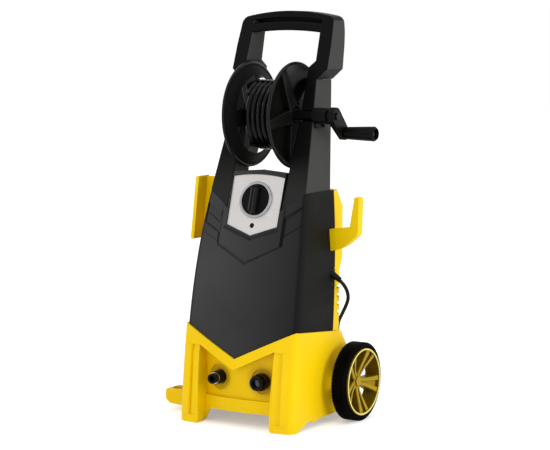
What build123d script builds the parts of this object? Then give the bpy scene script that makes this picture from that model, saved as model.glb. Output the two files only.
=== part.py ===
from build123d import *
import os
from math import atan, cos, degrees, pi, sin, tan, radians

os.makedirs("parts", exist_ok=True)

# An upright electric pressure washer with a hose reel between its handle arms.
# Millimetres. +Z up, the front faces -Y, X = 0 is the plane midway between the wheels,
# and the floor is Z = 0.

# ---------------------------------------------------------------- housing
# Rows of the housing: height, front centre line, how far the front bows forward
# of its side edges, and the half width.
foot_row = (0, -147.5, 13, 139)
fold_row = (147, -137, 17, 139)
tip_row = (403, -76, 1.5, 131)
plate_lean = 0.315                  # run back per unit of height on the control face
crown_z = 545
crown_half = 115.5
top_row = (crown_z, tip_row[1] + (crown_z - tip_row[0]) * plate_lean, 1, crown_half)
housing_rows = (foot_row, fold_row, tip_row, top_row)
corner_radius = 14                  # upright corners between front and sides
back_radius = 45                    # upright corners at the back
base_step = 4.5                     # how far the base stands proud of the covers
wall = 3.5                          # moulded wall thickness
seam = 0.5                          # gap between neighbouring covers
fit_gap = 0.06                      # radial gap of a piece pressed on or into another
seat = 0.3                          # clearance of a piece against what carries it
split_low = 18.5                    # Y of the front/rear split at floor level
split_rise = 0.1                    # the split leans back with height

def split_y(z):
    return split_low + split_rise * z

def row_at(z):
    """Front line, bow and half width of the housing at a height, between its rows."""
    for low, high in zip(housing_rows, housing_rows[1:]):
        if z <= high[0]:
            break
    share = (z - low[0]) / (high[0] - low[0])
    return [a + (b - a) * share for a, b in zip(low[1:], high[1:])]

def front_form(inset=0.0, past_split=0.0):
    """The front half of the housing as a solid, drawn in by inset."""
    with BuildPart() as form:
        for z, front, bow, half in housing_rows:
            with BuildSketch(Plane.XY.offset(z)):
                with BuildLine():
                    rear = split_y(z) + past_split
                    Polyline((half - inset, front + bow + inset), (half - inset, rear),
                             (-half + inset, rear), (-half + inset, front + bow + inset))
                    ThreePointArc((-half + inset, front + bow + inset), (0, front + inset),
                                  (half - inset, front + bow + inset))
                make_face()
                fillet(vertices().group_by(Axis.Y)[0], corner_radius - inset)
        loft()
    return form.part

def rear_form(rows, inset=0.0, start=0.0):
    """A rounded back shell: rows of height and back line, from the split to the back."""
    with BuildPart() as form:
        for z, back in rows:
            half = row_at(z)[2] - inset
            first = split_y(z) + start
            with BuildSketch(Plane.XY.offset(z)):
                with BuildLine():
                    Polyline((-half, first), (-half, back - inset), (half, back - inset),
                             (half, first), close=True)
                make_face()
                room = back - first - 6
                fillet(vertices().group_by(Axis.Y)[-1], min(back_radius, room) - inset)
        loft(ruled=True)
    return form.part

# ---------------------------------------------------------------- parting V
# The black cover's lower edge is a V on the front and runs down to the back on the sides.
v_tip_z = 147
v_side_z = 210
v_half = 137
v_slope = 0.106                     # fall of the parting surface per unit of depth
v_tip_y = fold_row[1]               # depth at which the tip has its height
v_side_y = -104                     # depth at which the side ends have theirs
far = 400                           # further than any face of the product

def below_v(drop):
    """Everything under the parting surface, lowered by drop."""
    tip = v_tip_z + v_slope * (far + v_tip_y) - drop
    side = v_side_z + v_slope * (far + v_side_y) - drop
    with BuildPart() as region:
        with BuildSketch(Plane.XZ.offset(far)):
            with BuildLine():
                Polyline((-far, -50), (far, -50), (far, side), (v_half, side), (0, tip),
                         (-v_half, side), (-far, side), close=True)
            make_face()
        extrude(amount=-2 * far, dir=(0, -1, v_slope))
    return region.part

# ---------------------------------------------------------------- shared sizes
# Handle arms, in the XZ view
arm_heel_z = 458                    # inner lower corner of each arm
arm_heel_x = 66
foot_rise = 38                      # the slanted foot rises by this to its outer corner
arm_foot_z = arm_heel_z + foot_rise
arm_foot_x = 119.5
arm_top_z = 733
arm_top_outer = 97
arm_top_inner = 73
arm_lean = 0.3415                   # front line of arms and handle, per unit of height
arm_front_foot = -46                # Y of the front line at arm_foot_z
arm_rear_foot = 57                  # outer rear edge at arm_foot_z
arm_rear_rise = 0.181
arm_inner_rear_heel = 4             # inner rear edge at arm_heel_z
arm_inner_rear_rise = 0.277
arm_wall = 3.5
arm_rib_step = 48
tenon_length = 46                   # the upper handle's tongues inside the arms
roof_rise = 54                      # roof of the control box above the arms' heels
roof_z = arm_heel_z + roof_rise
tongue_rise = 29                    # tongue behind the control plate above the roof
tongue_top_z = roof_z + tongue_rise
tongue_arch = 5
tongue_depth = 14
box_half = arm_heel_x - 0.5         # half width of the control box between the arms

def arm_front_y(z):
    return arm_front_foot + arm_lean * (z - arm_foot_z)

def arm_outer_x(z):
    return arm_foot_x - (arm_foot_x - arm_top_outer) * (z - arm_foot_z) / (arm_top_z - arm_foot_z)

def arm_inner_x(z):
    return arm_heel_x + (arm_top_inner - arm_heel_x) * (z - arm_heel_z) / (arm_top_z - arm_heel_z)

def arm_outer_rear(z):
    return arm_rear_foot + arm_rear_rise * (z - arm_foot_z)

def arm_inner_rear(z):
    return arm_inner_rear_heel + arm_inner_rear_rise * (z - arm_heel_z)

# Control face
knob_z = 478
plate_thickness = 3
plate_back = 5                      # moulded wall behind the plate
plate_half_top = 64.5
plate_half_low = 63
plate_top = 50                      # up the face from the knob's axis
plate_arch = 6
plate_low = -56
plate_tip = -78
knob_radius = 32.5
knob_gap = 0.8
bezel_width = 6.5
bezel_height = 4
stem_radius = 5
running = 0.05                      # radial clearance of a shaft in its bore
knob_disc = 5
grip_bar_width = 13
grip_bar_height = 15
stem_length = 24
switch_size = 46
switch_depth = 34
pilot_radius = 5.5

plate_angle = degrees(atan(plate_lean))
knob_y = tip_row[1] + (knob_z - tip_row[0]) * plate_lean
face = Plane(origin=(0, knob_y, knob_z), x_dir=(1, 0, 0),
             z_dir=(0, -cos(radians(plate_angle)), sin(radians(plate_angle))))

# Reel
reel_y = 18
reel_z = 657
reel_shaft_radius = 11
flange_radius = 115
flange_face = 60                    # |X| of the rim's outer edge
drum_half = 38                      # |X| of the flange discs' inner faces
hose_diameter = 12.5
drum_radius = 38
hose_layers = 3
hose_turns = 6
spoke_count = 4
reel_bore = reel_shaft_radius + fit_gap
reel_axis = Axis((0, reel_y, reel_z), (1, 0, 0))

# Wheels
wheel_radius = 85
wheel_width = 33
wheel_y = 64
wheel_z = wheel_radius
wheel_inner = 166                   # |X| of the tyre's inner side
axle_radius = 6
rim_radius = 72.5

# Base
base_back = 122.5
skirt_z = 16
arch_z = 30
arch_half = 78                      # half width of the arch between the feet at its top
arch_foot_half = 94
recess_half = 89                    # half width of the recess at the floor
recess_top_half = 94
recess_front = -115                 # wall behind the connectors, at X = 0
recess_bow = 11
band_drop = 23                      # height of the V-shaped band under the cover
sill_top = 58                       # the recess wall's lower part stands forward
sill_depth = 8
deck_z = 56
deck_thickness = 4
foot_back_y = -120
connector_x = 54
connector_z = 100

def side_signs():
    return (("left", -1), ("right", 1))

def slab(x0, x1, y0, y1, z0, z1):
    """A plain block between limits, for cuts."""
    with BuildPart() as block:
        with Locations(((x0 + x1) / 2, (y0 + y1) / 2, (z0 + z1) / 2)):
            Box(x1 - x0, y1 - y0, z1 - z0)
    return block.part

def prism_xz(points, y0, y1):
    """A prism with an outline in XZ between two depths."""
    with BuildPart() as block:
        with BuildSketch(Plane.XZ.offset(-y0)):
            with BuildLine():
                Polyline(*points, close=True)
            make_face()
        extrude(amount=y0 - y1)
    return block.part

def prism_yz(points, x0, x1):
    """A prism with an outline in YZ between two side positions."""
    with BuildPart() as block:
        with BuildSketch(Plane.YZ.offset(x0)):
            with BuildLine():
                Polyline(*points, close=True)
            make_face()
        extrude(amount=x1 - x0)
    return block.part

def rod_x(x0, x1, y, z, radius):
    """A round bar along X."""
    with BuildPart() as bar:
        with BuildSketch(Plane.YZ.offset(x0)):
            with Locations((y, z)):
                Circle(radius)
        extrude(amount=x1 - x0)
    return bar.part

# ---------------------------------------------------------------- housing envelopes
outer_form = front_form()
inner_form = front_form(wall, past_split=60)
skin_form = front_form(-seat, past_split=60)      # what sits on the outside clears this

def arm_pocket(grow):
    """The socket that both arms' slanted feet stand in, grown for the wall around it."""
    with BuildPart() as pocket:
        for side in (-1, 1):
            points = ((side * (arm_heel_x - grow), arm_heel_z - grow),
                      (side * far, arm_heel_z - grow + (far - arm_heel_x) * foot_slope),
                      (side * far, far * 2), (side * (arm_heel_x - grow), far * 2))
            add(prism_xz(points, -far, arm_rear_foot + 1 + grow))
    return pocket.part

foot_slope = (arm_foot_z - arm_heel_z) / (arm_foot_x - arm_heel_x)

# ---------------------------------------------------------------- front cover
panel_half = 76                     # raised panel under the control plate
panel_side_z = 385
panel_tip_z = 350
panel_raise = 2.2
gutter_width = 6                    # sunk line along each side of the panel
shoulder_depth = 2.2                # of the gutters and of the shoulder pockets
shoulder_low = 406                  # pocket's lower inner corner
shoulder_high = 442                 # its upper inner corner
shoulder_outer_x = 119
shoulder_low_slope = 0.56
shoulder_high_slope = 0.72
shoulder_z = arm_foot_z
hook_notch = (368, 414, 36, 57)     # Z range and Y range of the cord hook's cut-out
gland_notch = (303, 330, 29, 53)
notch_gap = 0.8
raised_form = front_form(-panel_raise)
shoulder_floor = front_form(shoulder_depth)

with BuildPart() as notches:
    for low, high, front, back in (hook_notch, gland_notch):
        add(slab(80, far, front - notch_gap, back + notch_gap, low - notch_gap,
                 high + notch_gap))
side_notches = notches.part

# a gutter beside the panel and a sunk pocket on each shoulder
with BuildPart() as shoulders:
    pocket_x = panel_half + gutter_width
    reach = shoulder_outer_x - pocket_x
    for side in (-1, 1):
        add(prism_xz(((side * panel_half, panel_side_z), (side * pocket_x, panel_side_z),
                      (side * pocket_x, shoulder_high), (side * panel_half, shoulder_high)),
                     -far, 10))
        add(prism_xz(((side * pocket_x, shoulder_low),
                      (side * shoulder_outer_x, shoulder_low + reach * shoulder_low_slope),
                      (side * shoulder_outer_x, shoulder_high + reach * shoulder_high_slope),
                      (side * pocket_x, shoulder_high)), -far, 10))
    add(shoulder_floor, mode=Mode.SUBTRACT)

# raised pentagon below the control plate
with BuildPart() as panel:
    add(raised_form)
    add(prism_xz(((-panel_half, crown_z), (-panel_half, panel_side_z), (0, panel_tip_z),
                  (panel_half, panel_side_z), (panel_half, crown_z)), -far, -20),
        mode=Mode.INTERSECT)

# hollow
with BuildPart() as cavity:
    add(inner_form)
    add(slab(-far, far, -far, far, -10, shoulder_z - wall), mode=Mode.INTERSECT)
    add(arm_pocket(wall), mode=Mode.SUBTRACT)

with BuildPart() as box_cavity:
    add(inner_form)
    add(slab(-box_half + wall, box_half - wall, -far, split_y(roof_z) - wall - 4,
             arm_heel_z, roof_z - wall), mode=Mode.INTERSECT)

# flat back of the plate's pocket
with BuildPart() as backing:
    with BuildSketch(face.offset(-plate_thickness - plate_back)):
        with Locations((0, (plate_top + plate_tip) / 2)):
            Rectangle(2 * box_half, plate_top - plate_tip)
    extrude(amount=plate_back + 1)
    add(outer_form, mode=Mode.INTERSECT)

with BuildPart() as front_cover:
    add(outer_form)
    add(panel.part)
    with BuildSketch(Plane.XZ.offset(far)):
        with BuildLine():
            Polyline((-far, 0), (far, 0), (far, shoulder_z), (box_half, shoulder_z),
                     (box_half, tongue_top_z - tongue_arch), (0, tongue_top_z),
                     (-box_half, tongue_top_z - tongue_arch), (-box_half, shoulder_z),
                     (-far, shoulder_z), close=True)
        make_face()
    extrude(amount=-2 * far, mode=Mode.INTERSECT)
    add(arm_pocket(0), mode=Mode.SUBTRACT)
    # room for the reel behind the tongue
    tongue_y = tip_row[1] + (roof_z - tip_row[0]) * plate_lean + tongue_depth
    add(prism_yz(((tongue_y, roof_z), (tongue_y + 20, roof_z + 20 / plate_lean),
                  (far, roof_z + 20 / plate_lean), (far, roof_z)), -far, far),
        mode=Mode.SUBTRACT)
    add(cavity.part, mode=Mode.SUBTRACT)
    add(box_cavity.part, mode=Mode.SUBTRACT)
    add(backing.part)
    with BuildSketch(face.offset(-plate_thickness)):
        with BuildLine():
            Polyline((plate_half_top, plate_top), (plate_half_low, plate_low), (0, plate_tip),
                     (-plate_half_low, plate_low), (-plate_half_top, plate_top))
            ThreePointArc((-plate_half_top, plate_top), (0, plate_top + plate_arch),
                          (plate_half_top, plate_top))
        make_face()
        offset(amount=seat)
    extrude(amount=30, mode=Mode.SUBTRACT)
    with BuildSketch(face.offset(-plate_thickness)):
        Circle(stem_radius + 4)
    extrude(amount=-30, mode=Mode.SUBTRACT)
    add(shoulders.part, mode=Mode.SUBTRACT)
    add(below_v(0), mode=Mode.SUBTRACT)
    add(side_notches, mode=Mode.SUBTRACT)
front_cover.part.label = "front_cover"
export_step(front_cover.part, "parts/front_cover.step")

# ---------------------------------------------------------------- control face
with BuildPart() as control_plate:
    with BuildSketch(face.offset(-plate_thickness)):
        with BuildLine():
            Polyline((plate_half_top, plate_top), (plate_half_low, plate_low), (0, plate_tip),
                     (-plate_half_low, plate_low), (-plate_half_top, plate_top))
            ThreePointArc((-plate_half_top, plate_top), (0, plate_top + plate_arch),
                          (plate_half_top, plate_top))
        make_face()
        fillet(vertices(), 2.5)
        Circle(knob_radius + knob_gap, mode=Mode.SUBTRACT)
        with Locations((0, plate_low)):
            Circle(pilot_radius, mode=Mode.SUBTRACT)
    extrude(amount=plate_thickness)
control_plate.part.label = "control_plate"
export_step(control_plate.part, "parts/control_plate.step")

with BuildPart() as knob_bezel:
    with BuildSketch(face):
        Circle(knob_radius + knob_gap + bezel_width)
        Circle(knob_radius + knob_gap, mode=Mode.SUBTRACT)
    extrude(amount=bezel_height)
    face_axis = Axis(face.origin, face.z_dir)
    fillet(knob_bezel.edges().filter_by(GeomType.CIRCLE).group_by(face_axis)[-1], 1.8)
knob_bezel.part.label = "knob_bezel"
export_step(knob_bezel.part, "parts/knob_bezel.step")

with BuildPart() as pilot_cap:
    with BuildSketch(face.offset(-plate_thickness)):
        with Locations((0, plate_low)):
            Circle(pilot_radius)
    extrude(amount=plate_thickness - 1)
pilot_cap.part.label = "pilot_cap"
export_step(pilot_cap.part, "parts/pilot_cap.step")

with BuildPart() as switch_knob:
    with BuildSketch(face.offset(-plate_thickness + seat)):
        Circle(knob_radius)
    extrude(amount=plate_thickness - seat + knob_disc)
    with BuildSketch(face.offset(knob_disc)):
        RectangleRounded(grip_bar_width, 2 * knob_radius - 4, grip_bar_width / 2 - 0.5)
    extrude(amount=grip_bar_height, taper=6)
    with BuildSketch(face.offset(-plate_thickness + seat)):
        Circle(stem_radius)
    extrude(amount=-stem_length)
    fillet(switch_knob.edges().filter_by(GeomType.CIRCLE).group_by(face_axis)[-1], 1.5)
switch_knob.part.label = "switch_knob"
export_step(switch_knob.part, "parts/switch_knob.step")

with BuildPart() as switch_body:
    with BuildSketch(face.offset(-plate_thickness - plate_back)):
        RectangleRounded(switch_size, switch_size, 4)
        Circle(stem_radius + running, mode=Mode.SUBTRACT)
    extrude(amount=-switch_depth)
switch_body.part.label = "switch_body"
export_step(switch_body.part, "parts/switch_body.step")

# ---------------------------------------------------------------- rear cover
back_rows = ((110, 92), (222, 100), (276, 106), (322, 107.5), (350, 122), (440, 132),
             (458, 136), (474, 128), (494, 115))
rear_top_z = 494
louvre_low = 231
louvre_pitch = 18.4
louvre_height = 8.6
louvre_count = 4
louvre_bank = 56                    # width of each of the three banks of slots
louvre_post = 8
louvre_depth = 22                   # how deep the banks are cut from the back line
louvre_row_y = 106                  # back line of the cover across the slots
louvre_corner_y = 62                # where the slots round the corners begin
louvre_mid = louvre_low + louvre_pitch * (louvre_count - 1) / 2
louvre_steps = [(0, 0, (i - (louvre_count - 1) / 2) * louvre_pitch) for i in range(louvre_count)]
louvre_corner_x = 2 * (louvre_bank + louvre_post)

with BuildPart() as rear_cavity:
    add(rear_form(back_rows, inset=wall, start=-20))
    add(slab(-far, far, -far, far, 0, rear_top_z - wall), mode=Mode.INTERSECT)

with BuildPart() as rear_cover:
    add(rear_form(back_rows, start=seam))
    add(below_v(0), mode=Mode.SUBTRACT)
    add(slab(-far, far, -far, far, rear_top_z, far * 2), mode=Mode.SUBTRACT)
    add(rear_cavity.part, mode=Mode.SUBTRACT)
    # cooling slots: three banks across the back, and one round each corner
    with Locations((0, louvre_row_y, louvre_mid)):
        with GridLocations(louvre_bank + louvre_post, 1, 3, 1):
            with Locations(*louvre_steps):
                Box(louvre_bank, 2 * louvre_depth, louvre_height, mode=Mode.SUBTRACT)
    with Locations((-louvre_corner_x, louvre_corner_y, louvre_mid),
                   (louvre_corner_x, louvre_corner_y, louvre_mid)):
        with Locations(*louvre_steps):
            Box(louvre_bank, far, louvre_height, align=(Align.CENTER, Align.MIN, Align.CENTER),
                mode=Mode.SUBTRACT)
    add(side_notches, mode=Mode.SUBTRACT)
rear_cover.part.label = "rear_cover"
export_step(rear_cover.part, "parts/rear_cover.step")

# ---------------------------------------------------------------- base
base_rows = ((0, base_back), (155, base_back), (230, 69.5))
recess_wall = 5
ledge = 3                           # rim that closes the base's step under the covers
band_slope = (v_side_z + v_slope * (v_side_y - v_tip_y) - v_tip_z) / v_half
axle_boss_radius = 13
axle_boss_end = 164.5
foot_sole = 4
pillar_low = 17                     # ends of the pillars' troughs and raised bars
pillar_high = 168
trough_x = (93, 113)                # a trough that deepens outwards
trough_depth = 2.2
bar_x = (115, 129)
bar_raise = 1.5
dish_radius = 27
dish_depth = 3
port_radius = 15.2
cup_reach = 229
cup_y = -43
cup_x = 206
cup_bore = 16
cup_floor_z = 16
cup_width = 46
cup_wall = 6
cup_top_z = 48
cup_bottom_z = 8

def behind_arc(front, half, high):
    """Everything behind a bowed line, from below the floor up to a height."""
    with BuildPart() as block:
        with BuildSketch(Plane.XY.offset(-20)):
            with BuildLine():
                edge = front + recess_bow
                Polyline((half, edge), (half, far), (-half, far), (-half, edge))
                ThreePointArc((-half, edge), (0, front), (half, edge))
            make_face()
        extrude(amount=high + 20)
    return block.part

def recess(grow):
    """The space between the two front pillars, under the V band, grown for its walls."""
    low_half = recess_half + grow
    half = recess_top_half + grow
    tip = v_tip_z - band_drop + grow
    side = tip + band_slope * half
    with BuildPart() as space:
        add(prism_xz(((-low_half, -10), (low_half, -10), (half, side), (0, tip),
                      (-half, side)), -far, 0))
        add(behind_arc(recess_front + grow, half + 1, far), mode=Mode.SUBTRACT)
        add(behind_arc(recess_front - sill_depth + grow, half + 1, sill_top - grow),
            mode=Mode.SUBTRACT)
    return space.part

def pillar_front(x, z):
    """Depth of the base's front face."""
    front, bow, half = row_at(z)
    return front + bow * (x / (half + base_step)) ** 2 - base_step

def trough(side):
    """A wedge cut down one pillar's front, deepest at its outer edge."""
    inner, outer = trough_x
    with BuildPart() as wedge:
        for z in (pillar_low, fold_row[0], pillar_high):
            edge = pillar_front(inner, z)
            with BuildSketch(Plane.XY.offset(z)):
                with BuildLine():
                    Polyline((side * inner, edge),
                             (side * outer, pillar_front(outer, z) + trough_depth),
                             (side * outer, edge - 30), (side * inner, edge - 30), close=True)
                make_face()
        loft(ruled=True)
    return wedge.part

# The base's hollow follows its own wall, and narrows to the covers' walls at the rim
with BuildPart() as base_inside:
    add(front_form(wall - base_step, past_split=15))
    add(rear_form(base_rows, inset=wall - base_step, start=-30))
    add(below_v(seam + ledge), mode=Mode.INTERSECT)
    add(front_form(wall, past_split=15))
    add(rear_form(back_rows[:2], inset=wall, start=-30))
    add(slab(-far, far, -far, far, -20, v_side_z + 60), mode=Mode.INTERSECT)
base_hollow = base_inside.part

with BuildPart() as base_cavity:
    add(base_hollow)
    add(recess(recess_wall), mode=Mode.SUBTRACT)
    add(slab(-far, far, -far, foot_back_y + wall, -10, foot_sole), mode=Mode.SUBTRACT)
    add(slab(-far, far, -far, far, deck_z, deck_z + deck_thickness), mode=Mode.SUBTRACT)

# lance foot: a cup standing out on the left
with BuildPart() as cup:
    with BuildSketch(Plane.XZ.offset(-cup_y + cup_width / 2)):
        with BuildLine():
            Polyline((-recess_half - 20, cup_top_z + 8), (-cup_x + cup_bore + cup_wall, cup_top_z),
                     (-cup_reach + 4, cup_top_z), (-cup_reach, cup_top_z - 4),
                     (-cup_reach, cup_bottom_z + 17), (-cup_reach + 10, cup_bottom_z + 8),
                     (-recess_half - 20, cup_bottom_z), close=True)
        make_face()
    extrude(amount=-cup_width)
    add(base_hollow, mode=Mode.SUBTRACT)

with BuildPart() as dishes:
    with BuildSketch(Plane.XZ.offset(far)):
        with Locations((-connector_x, connector_z), (connector_x, connector_z)):
            Circle(dish_radius)
    extrude(amount=-far)
    add(recess(dish_depth), mode=Mode.INTERSECT)

with BuildPart() as bars:
    add(front_form(-base_step - bar_raise))
    with Locations((-sum(bar_x) / 2, -far, (pillar_low + pillar_high) / 2),
                   (sum(bar_x) / 2, -far, (pillar_low + pillar_high) / 2)):
        Box(bar_x[1] - bar_x[0], 2 * far - 160, pillar_high - pillar_low, mode=Mode.INTERSECT)

with BuildPart() as base:
    add(front_form(-base_step))
    add(rear_form(base_rows, inset=-base_step, start=-30))
    add(bars.part)
    add(below_v(seam), mode=Mode.INTERSECT)
    for side in (-1, 1):
        add(trough(side), mode=Mode.SUBTRACT)
    add(recess(0), mode=Mode.SUBTRACT)
    add(base_cavity.part, mode=Mode.SUBTRACT)
    # arch between the feet
    with BuildSketch(Plane.XZ.offset(far)):
        with BuildLine():
            Polyline((-arch_foot_half, 0), (-arch_half, arch_z), (arch_half, arch_z),
                     (arch_foot_half, 0), (arch_foot_half, -10), (-arch_foot_half, -10),
                     close=True)
        make_face()
        fillet(vertices().group_by(Axis.Y)[-1], 10)
    extrude(amount=-(far - 60), mode=Mode.SUBTRACT)
    # behind the feet the skirt is lifted clear of the floor, with a low step in it
    add(prism_yz(((foot_back_y, -1), (foot_back_y, 0), (-74, skirt_z), (-64, skirt_z),
                  (-58, skirt_z - 3), (-34, skirt_z - 3), (-28, skirt_z), (far, skirt_z),
                  (far, -1)), -far, far), mode=Mode.SUBTRACT)
    add(cup.part)
    with Locations((-cup_x, cup_y, cup_floor_z + far / 2)):
        Cylinder(cup_bore, far, mode=Mode.SUBTRACT)
    # axle bosses and bore
    for name, side in side_signs():
        add(rod_x(side * 132, side * axle_boss_end, wheel_y, wheel_z, axle_boss_radius))
    add(rod_x(-far, far, wheel_y, wheel_z, axle_radius + running), mode=Mode.SUBTRACT)
    # shallow dishes round the two water connectors, and the holes they pass through
    add(dishes.part, mode=Mode.SUBTRACT)
    with BuildSketch(Plane.XZ.offset(far)):
        with Locations((-connector_x, connector_z), (connector_x, connector_z)):
            Circle(port_radius)
    extrude(amount=-(far + recess_front + 40), mode=Mode.SUBTRACT)
base.part.label = "base"
export_step(base.part, "parts/base.step")

# ---------------------------------------------------------------- handle arms
notch_clearance = 1
arm_edge = 3
arm_sections = (arm_heel_z - 20, arm_top_z)
side_lean = degrees(atan((arm_foot_x - arm_top_outer) / (arm_top_z - arm_foot_z)))

def side_face(side, z, y):
    """A plane just off an arm's outer face at a height, looking outwards; local X runs back."""
    return Plane(origin=(side * (arm_outer_x(z) + seat), y, z), x_dir=(0, 1, 0),
                 z_dir=(side * cos(radians(side_lean)), 0, sin(radians(side_lean))))

def arm_loft(side, inset, rear_open):
    """An arm as a ruled loft between two level sections, mirrored by side."""
    with BuildPart() as form:
        for z in arm_sections:
            front = arm_front_y(z) + inset
            with BuildSketch(Plane.XY.offset(z)):
                with BuildLine():
                    Polyline((side * (arm_outer_x(z) - inset), front),
                             (side * (arm_inner_x(z) + inset), front),
                             (side * (arm_inner_x(z) + inset), arm_inner_rear(z) + rear_open),
                             (side * (arm_outer_x(z) - inset), arm_outer_rear(z) + rear_open),
                             close=True)
                make_face()
        loft(ruled=True)
    return form.part

def above_feet(gap):
    """The space above the arms' slanted feet."""
    low = arm_heel_z + gap
    with BuildPart() as space:
        for side in (-1, 1):
            add(prism_xz(((side * 20, low - 46 * foot_slope), (side * far, low
                          + (far - arm_heel_x) * foot_slope), (side * far, 2 * far),
                          (side * 20, 2 * far)), -far, far))
    return space.part

arms = {}
for name, side in side_signs():
    with BuildPart() as channel:
        add(arm_loft(side, arm_wall, 40))
        add(above_feet(arm_wall + seat), mode=Mode.INTERSECT)
        rib_z = arm_foot_z + arm_rib_step / 2
        while rib_z < arm_top_z - tenon_length - 4:
            if abs(rib_z - reel_z) > reel_shaft_radius + 14:
                add(slab(-far, far, -far, far, rib_z - arm_wall / 2, rib_z + arm_wall / 2),
                    mode=Mode.SUBTRACT)
            rib_z += arm_rib_step
        # solid wall round the shaft's saddle
        saddle = reel_shaft_radius + notch_clearance
        add(slab(-far, far, -far, reel_y + saddle + arm_wall, reel_z - saddle - arm_wall,
                 reel_z + saddle + arm_wall), mode=Mode.SUBTRACT)
    with BuildPart() as arm:
        add(arm_loft(side, 0, 0))
        add(above_feet(seat), mode=Mode.INTERSECT)
        front_edges = arm.edges().filter_by(
            lambda e: e.length > 200 and e.center().Y < arm_front_y(e.center().Z) + 1)
        fillet(front_edges, arm_edge)
        add(channel.part, mode=Mode.SUBTRACT)
        # the shaft drops into a saddle that is open to the front
        add(rod_x(-far, far, reel_y, reel_z, saddle), mode=Mode.SUBTRACT)
        add(slab(-far, far, -far, reel_y, reel_z - saddle, reel_z + saddle), mode=Mode.SUBTRACT)
    arm.part.label = f"arm_{name}"
    export_step(arm.part, f"parts/arm_{name}.step")
    arms[name] = arm.part

# ---------------------------------------------------------------- upper handle
handle_leg_outer = 120              # widest, just above the step
handle_step_z = 755
handle_leg_inner = 88
handle_inner_step_z = 773
handle_inner_step = 14              # height of the slope inside the step
handle_waist_x = 119
handle_waist_z = 806
handle_shoulder_x = 115
handle_shoulder_z = 866
handle_shoulder_radius = 18
handle_top_z = 880
opening_top_z = 836
opening_top_half = 86
opening_arch = 5
handle_rear_foot = 105
handle_rear_top = 126
leg_channel_width = 22
leg_channel_depth = 28
slot_low = 846
slot_high = 861
slot_arch = 6
slot_half = 87
slot_depth = 24
slot_rib_x = 36
slot_rib = 3
tenon_gap = 0.4
tenon_depth = 34
tenon_lead = 1                      # the tongues stand back from the arms' front walls
handle_edge = 4

# pocket along the front of the crossbar, with two ribs left standing in it
with BuildPart() as pocket:
    with BuildSketch(Plane.XZ.offset(far)):
        with BuildLine():
            ThreePointArc((-slot_half, slot_high), (0, slot_high + slot_arch),
                          (slot_half, slot_high))
            Line((slot_half, slot_high), (slot_half, slot_low))
            ThreePointArc((slot_half, slot_low), (0, slot_low + slot_arch),
                          (-slot_half, slot_low))
            Line((-slot_half, slot_low), (-slot_half, slot_high))
        make_face()
        fillet(vertices(), 3)
    extrude(amount=-(far + arm_front_y((slot_low + slot_high) / 2) + slot_depth))
    for x in (-slot_rib_x, slot_rib_x):
        add(slab(x - slot_rib / 2, x + slot_rib / 2, -far, far, 0, 2 * far),
            mode=Mode.SUBTRACT)

with BuildPart() as upper_handle:
    with BuildSketch(Plane.XZ.offset(far)):
        with BuildLine():
            Polyline((-handle_shoulder_x, handle_shoulder_z), (-handle_waist_x, handle_waist_z),
                     (-handle_leg_outer, handle_step_z), (-arm_top_outer, arm_top_z + seat),
                     (-arm_top_inner, arm_top_z + seat), (arm_top_inner, arm_top_z + seat),
                     (arm_top_outer, arm_top_z + seat), (handle_leg_outer, handle_step_z),
                     (handle_waist_x, handle_waist_z), (handle_shoulder_x, handle_shoulder_z))
            ThreePointArc((handle_shoulder_x, handle_shoulder_z), (0, handle_top_z),
                          (-handle_shoulder_x, handle_shoulder_z))
        make_face()
        fillet(vertices().group_by(Axis.Y)[-1], handle_shoulder_radius)
        with BuildLine():
            slope_foot = handle_inner_step_z - handle_inner_step
            Polyline((-opening_top_half, opening_top_z), (-handle_leg_inner, handle_inner_step_z),
                     (-arm_top_inner, slope_foot), (-arm_top_inner, arm_top_z - 9),
                     (arm_top_inner, arm_top_z - 9), (arm_top_inner, slope_foot),
                     (handle_leg_inner, handle_inner_step_z), (opening_top_half, opening_top_z))
            ThreePointArc((opening_top_half, opening_top_z), (0, opening_top_z + opening_arch),
                          (-opening_top_half, opening_top_z))
        make_face(mode=Mode.SUBTRACT)
    extrude(amount=-2 * far)
    with BuildSketch(Plane.YZ.offset(-far)):
        with BuildLine():
            Polyline((arm_front_y(arm_top_z - 50), arm_top_z - 50),
                     (arm_front_y(handle_top_z + 20), handle_top_z + 20),
                     (handle_rear_top, handle_top_z + 20), (handle_rear_top, handle_top_z - 30),
                     (handle_rear_foot, arm_top_z), (handle_rear_foot, arm_top_z - 50),
                     close=True)
        make_face()
    extrude(amount=2 * far, mode=Mode.INTERSECT)
    top_edges = upper_handle.edges().filter_by(GeomType.CIRCLE).filter_by(
        lambda e: e.radius > 100 and e.center().Z > handle_shoulder_z)
    fillet(top_edges, handle_edge)
    add(pocket.part, mode=Mode.SUBTRACT)
    # open channels in the back of both legs
    for name, side in side_signs():
        mid = (handle_leg_inner + handle_waist_x) / 2
        with Locations((side * mid, handle_rear_top, (handle_inner_step_z + opening_top_z) / 2)):
            Box(leg_channel_width, 2 * leg_channel_depth,
                opening_top_z - handle_inner_step_z - 4, mode=Mode.SUBTRACT)
        # tenon standing down inside the arm's channel
        low = arm_top_z - tenon_length
        inner = arm_inner_x(low) + arm_wall + tenon_gap + 1
        outer = arm_outer_x(arm_top_z) - arm_wall - tenon_gap - 0.5
        tenon_x = (inner + outer) / 2
        tenon_front = arm_front_y(arm_top_z) + arm_wall + tenon_gap + tenon_lead
        with Locations((side * tenon_x, tenon_front + tenon_depth / 2, (low + arm_top_z + 2) / 2)):
            Box(outer - inner, tenon_depth, tenon_length + 2)
upper_handle.part.label = "upper_handle"
export_step(upper_handle.part, "parts/upper_handle.step")

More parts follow.
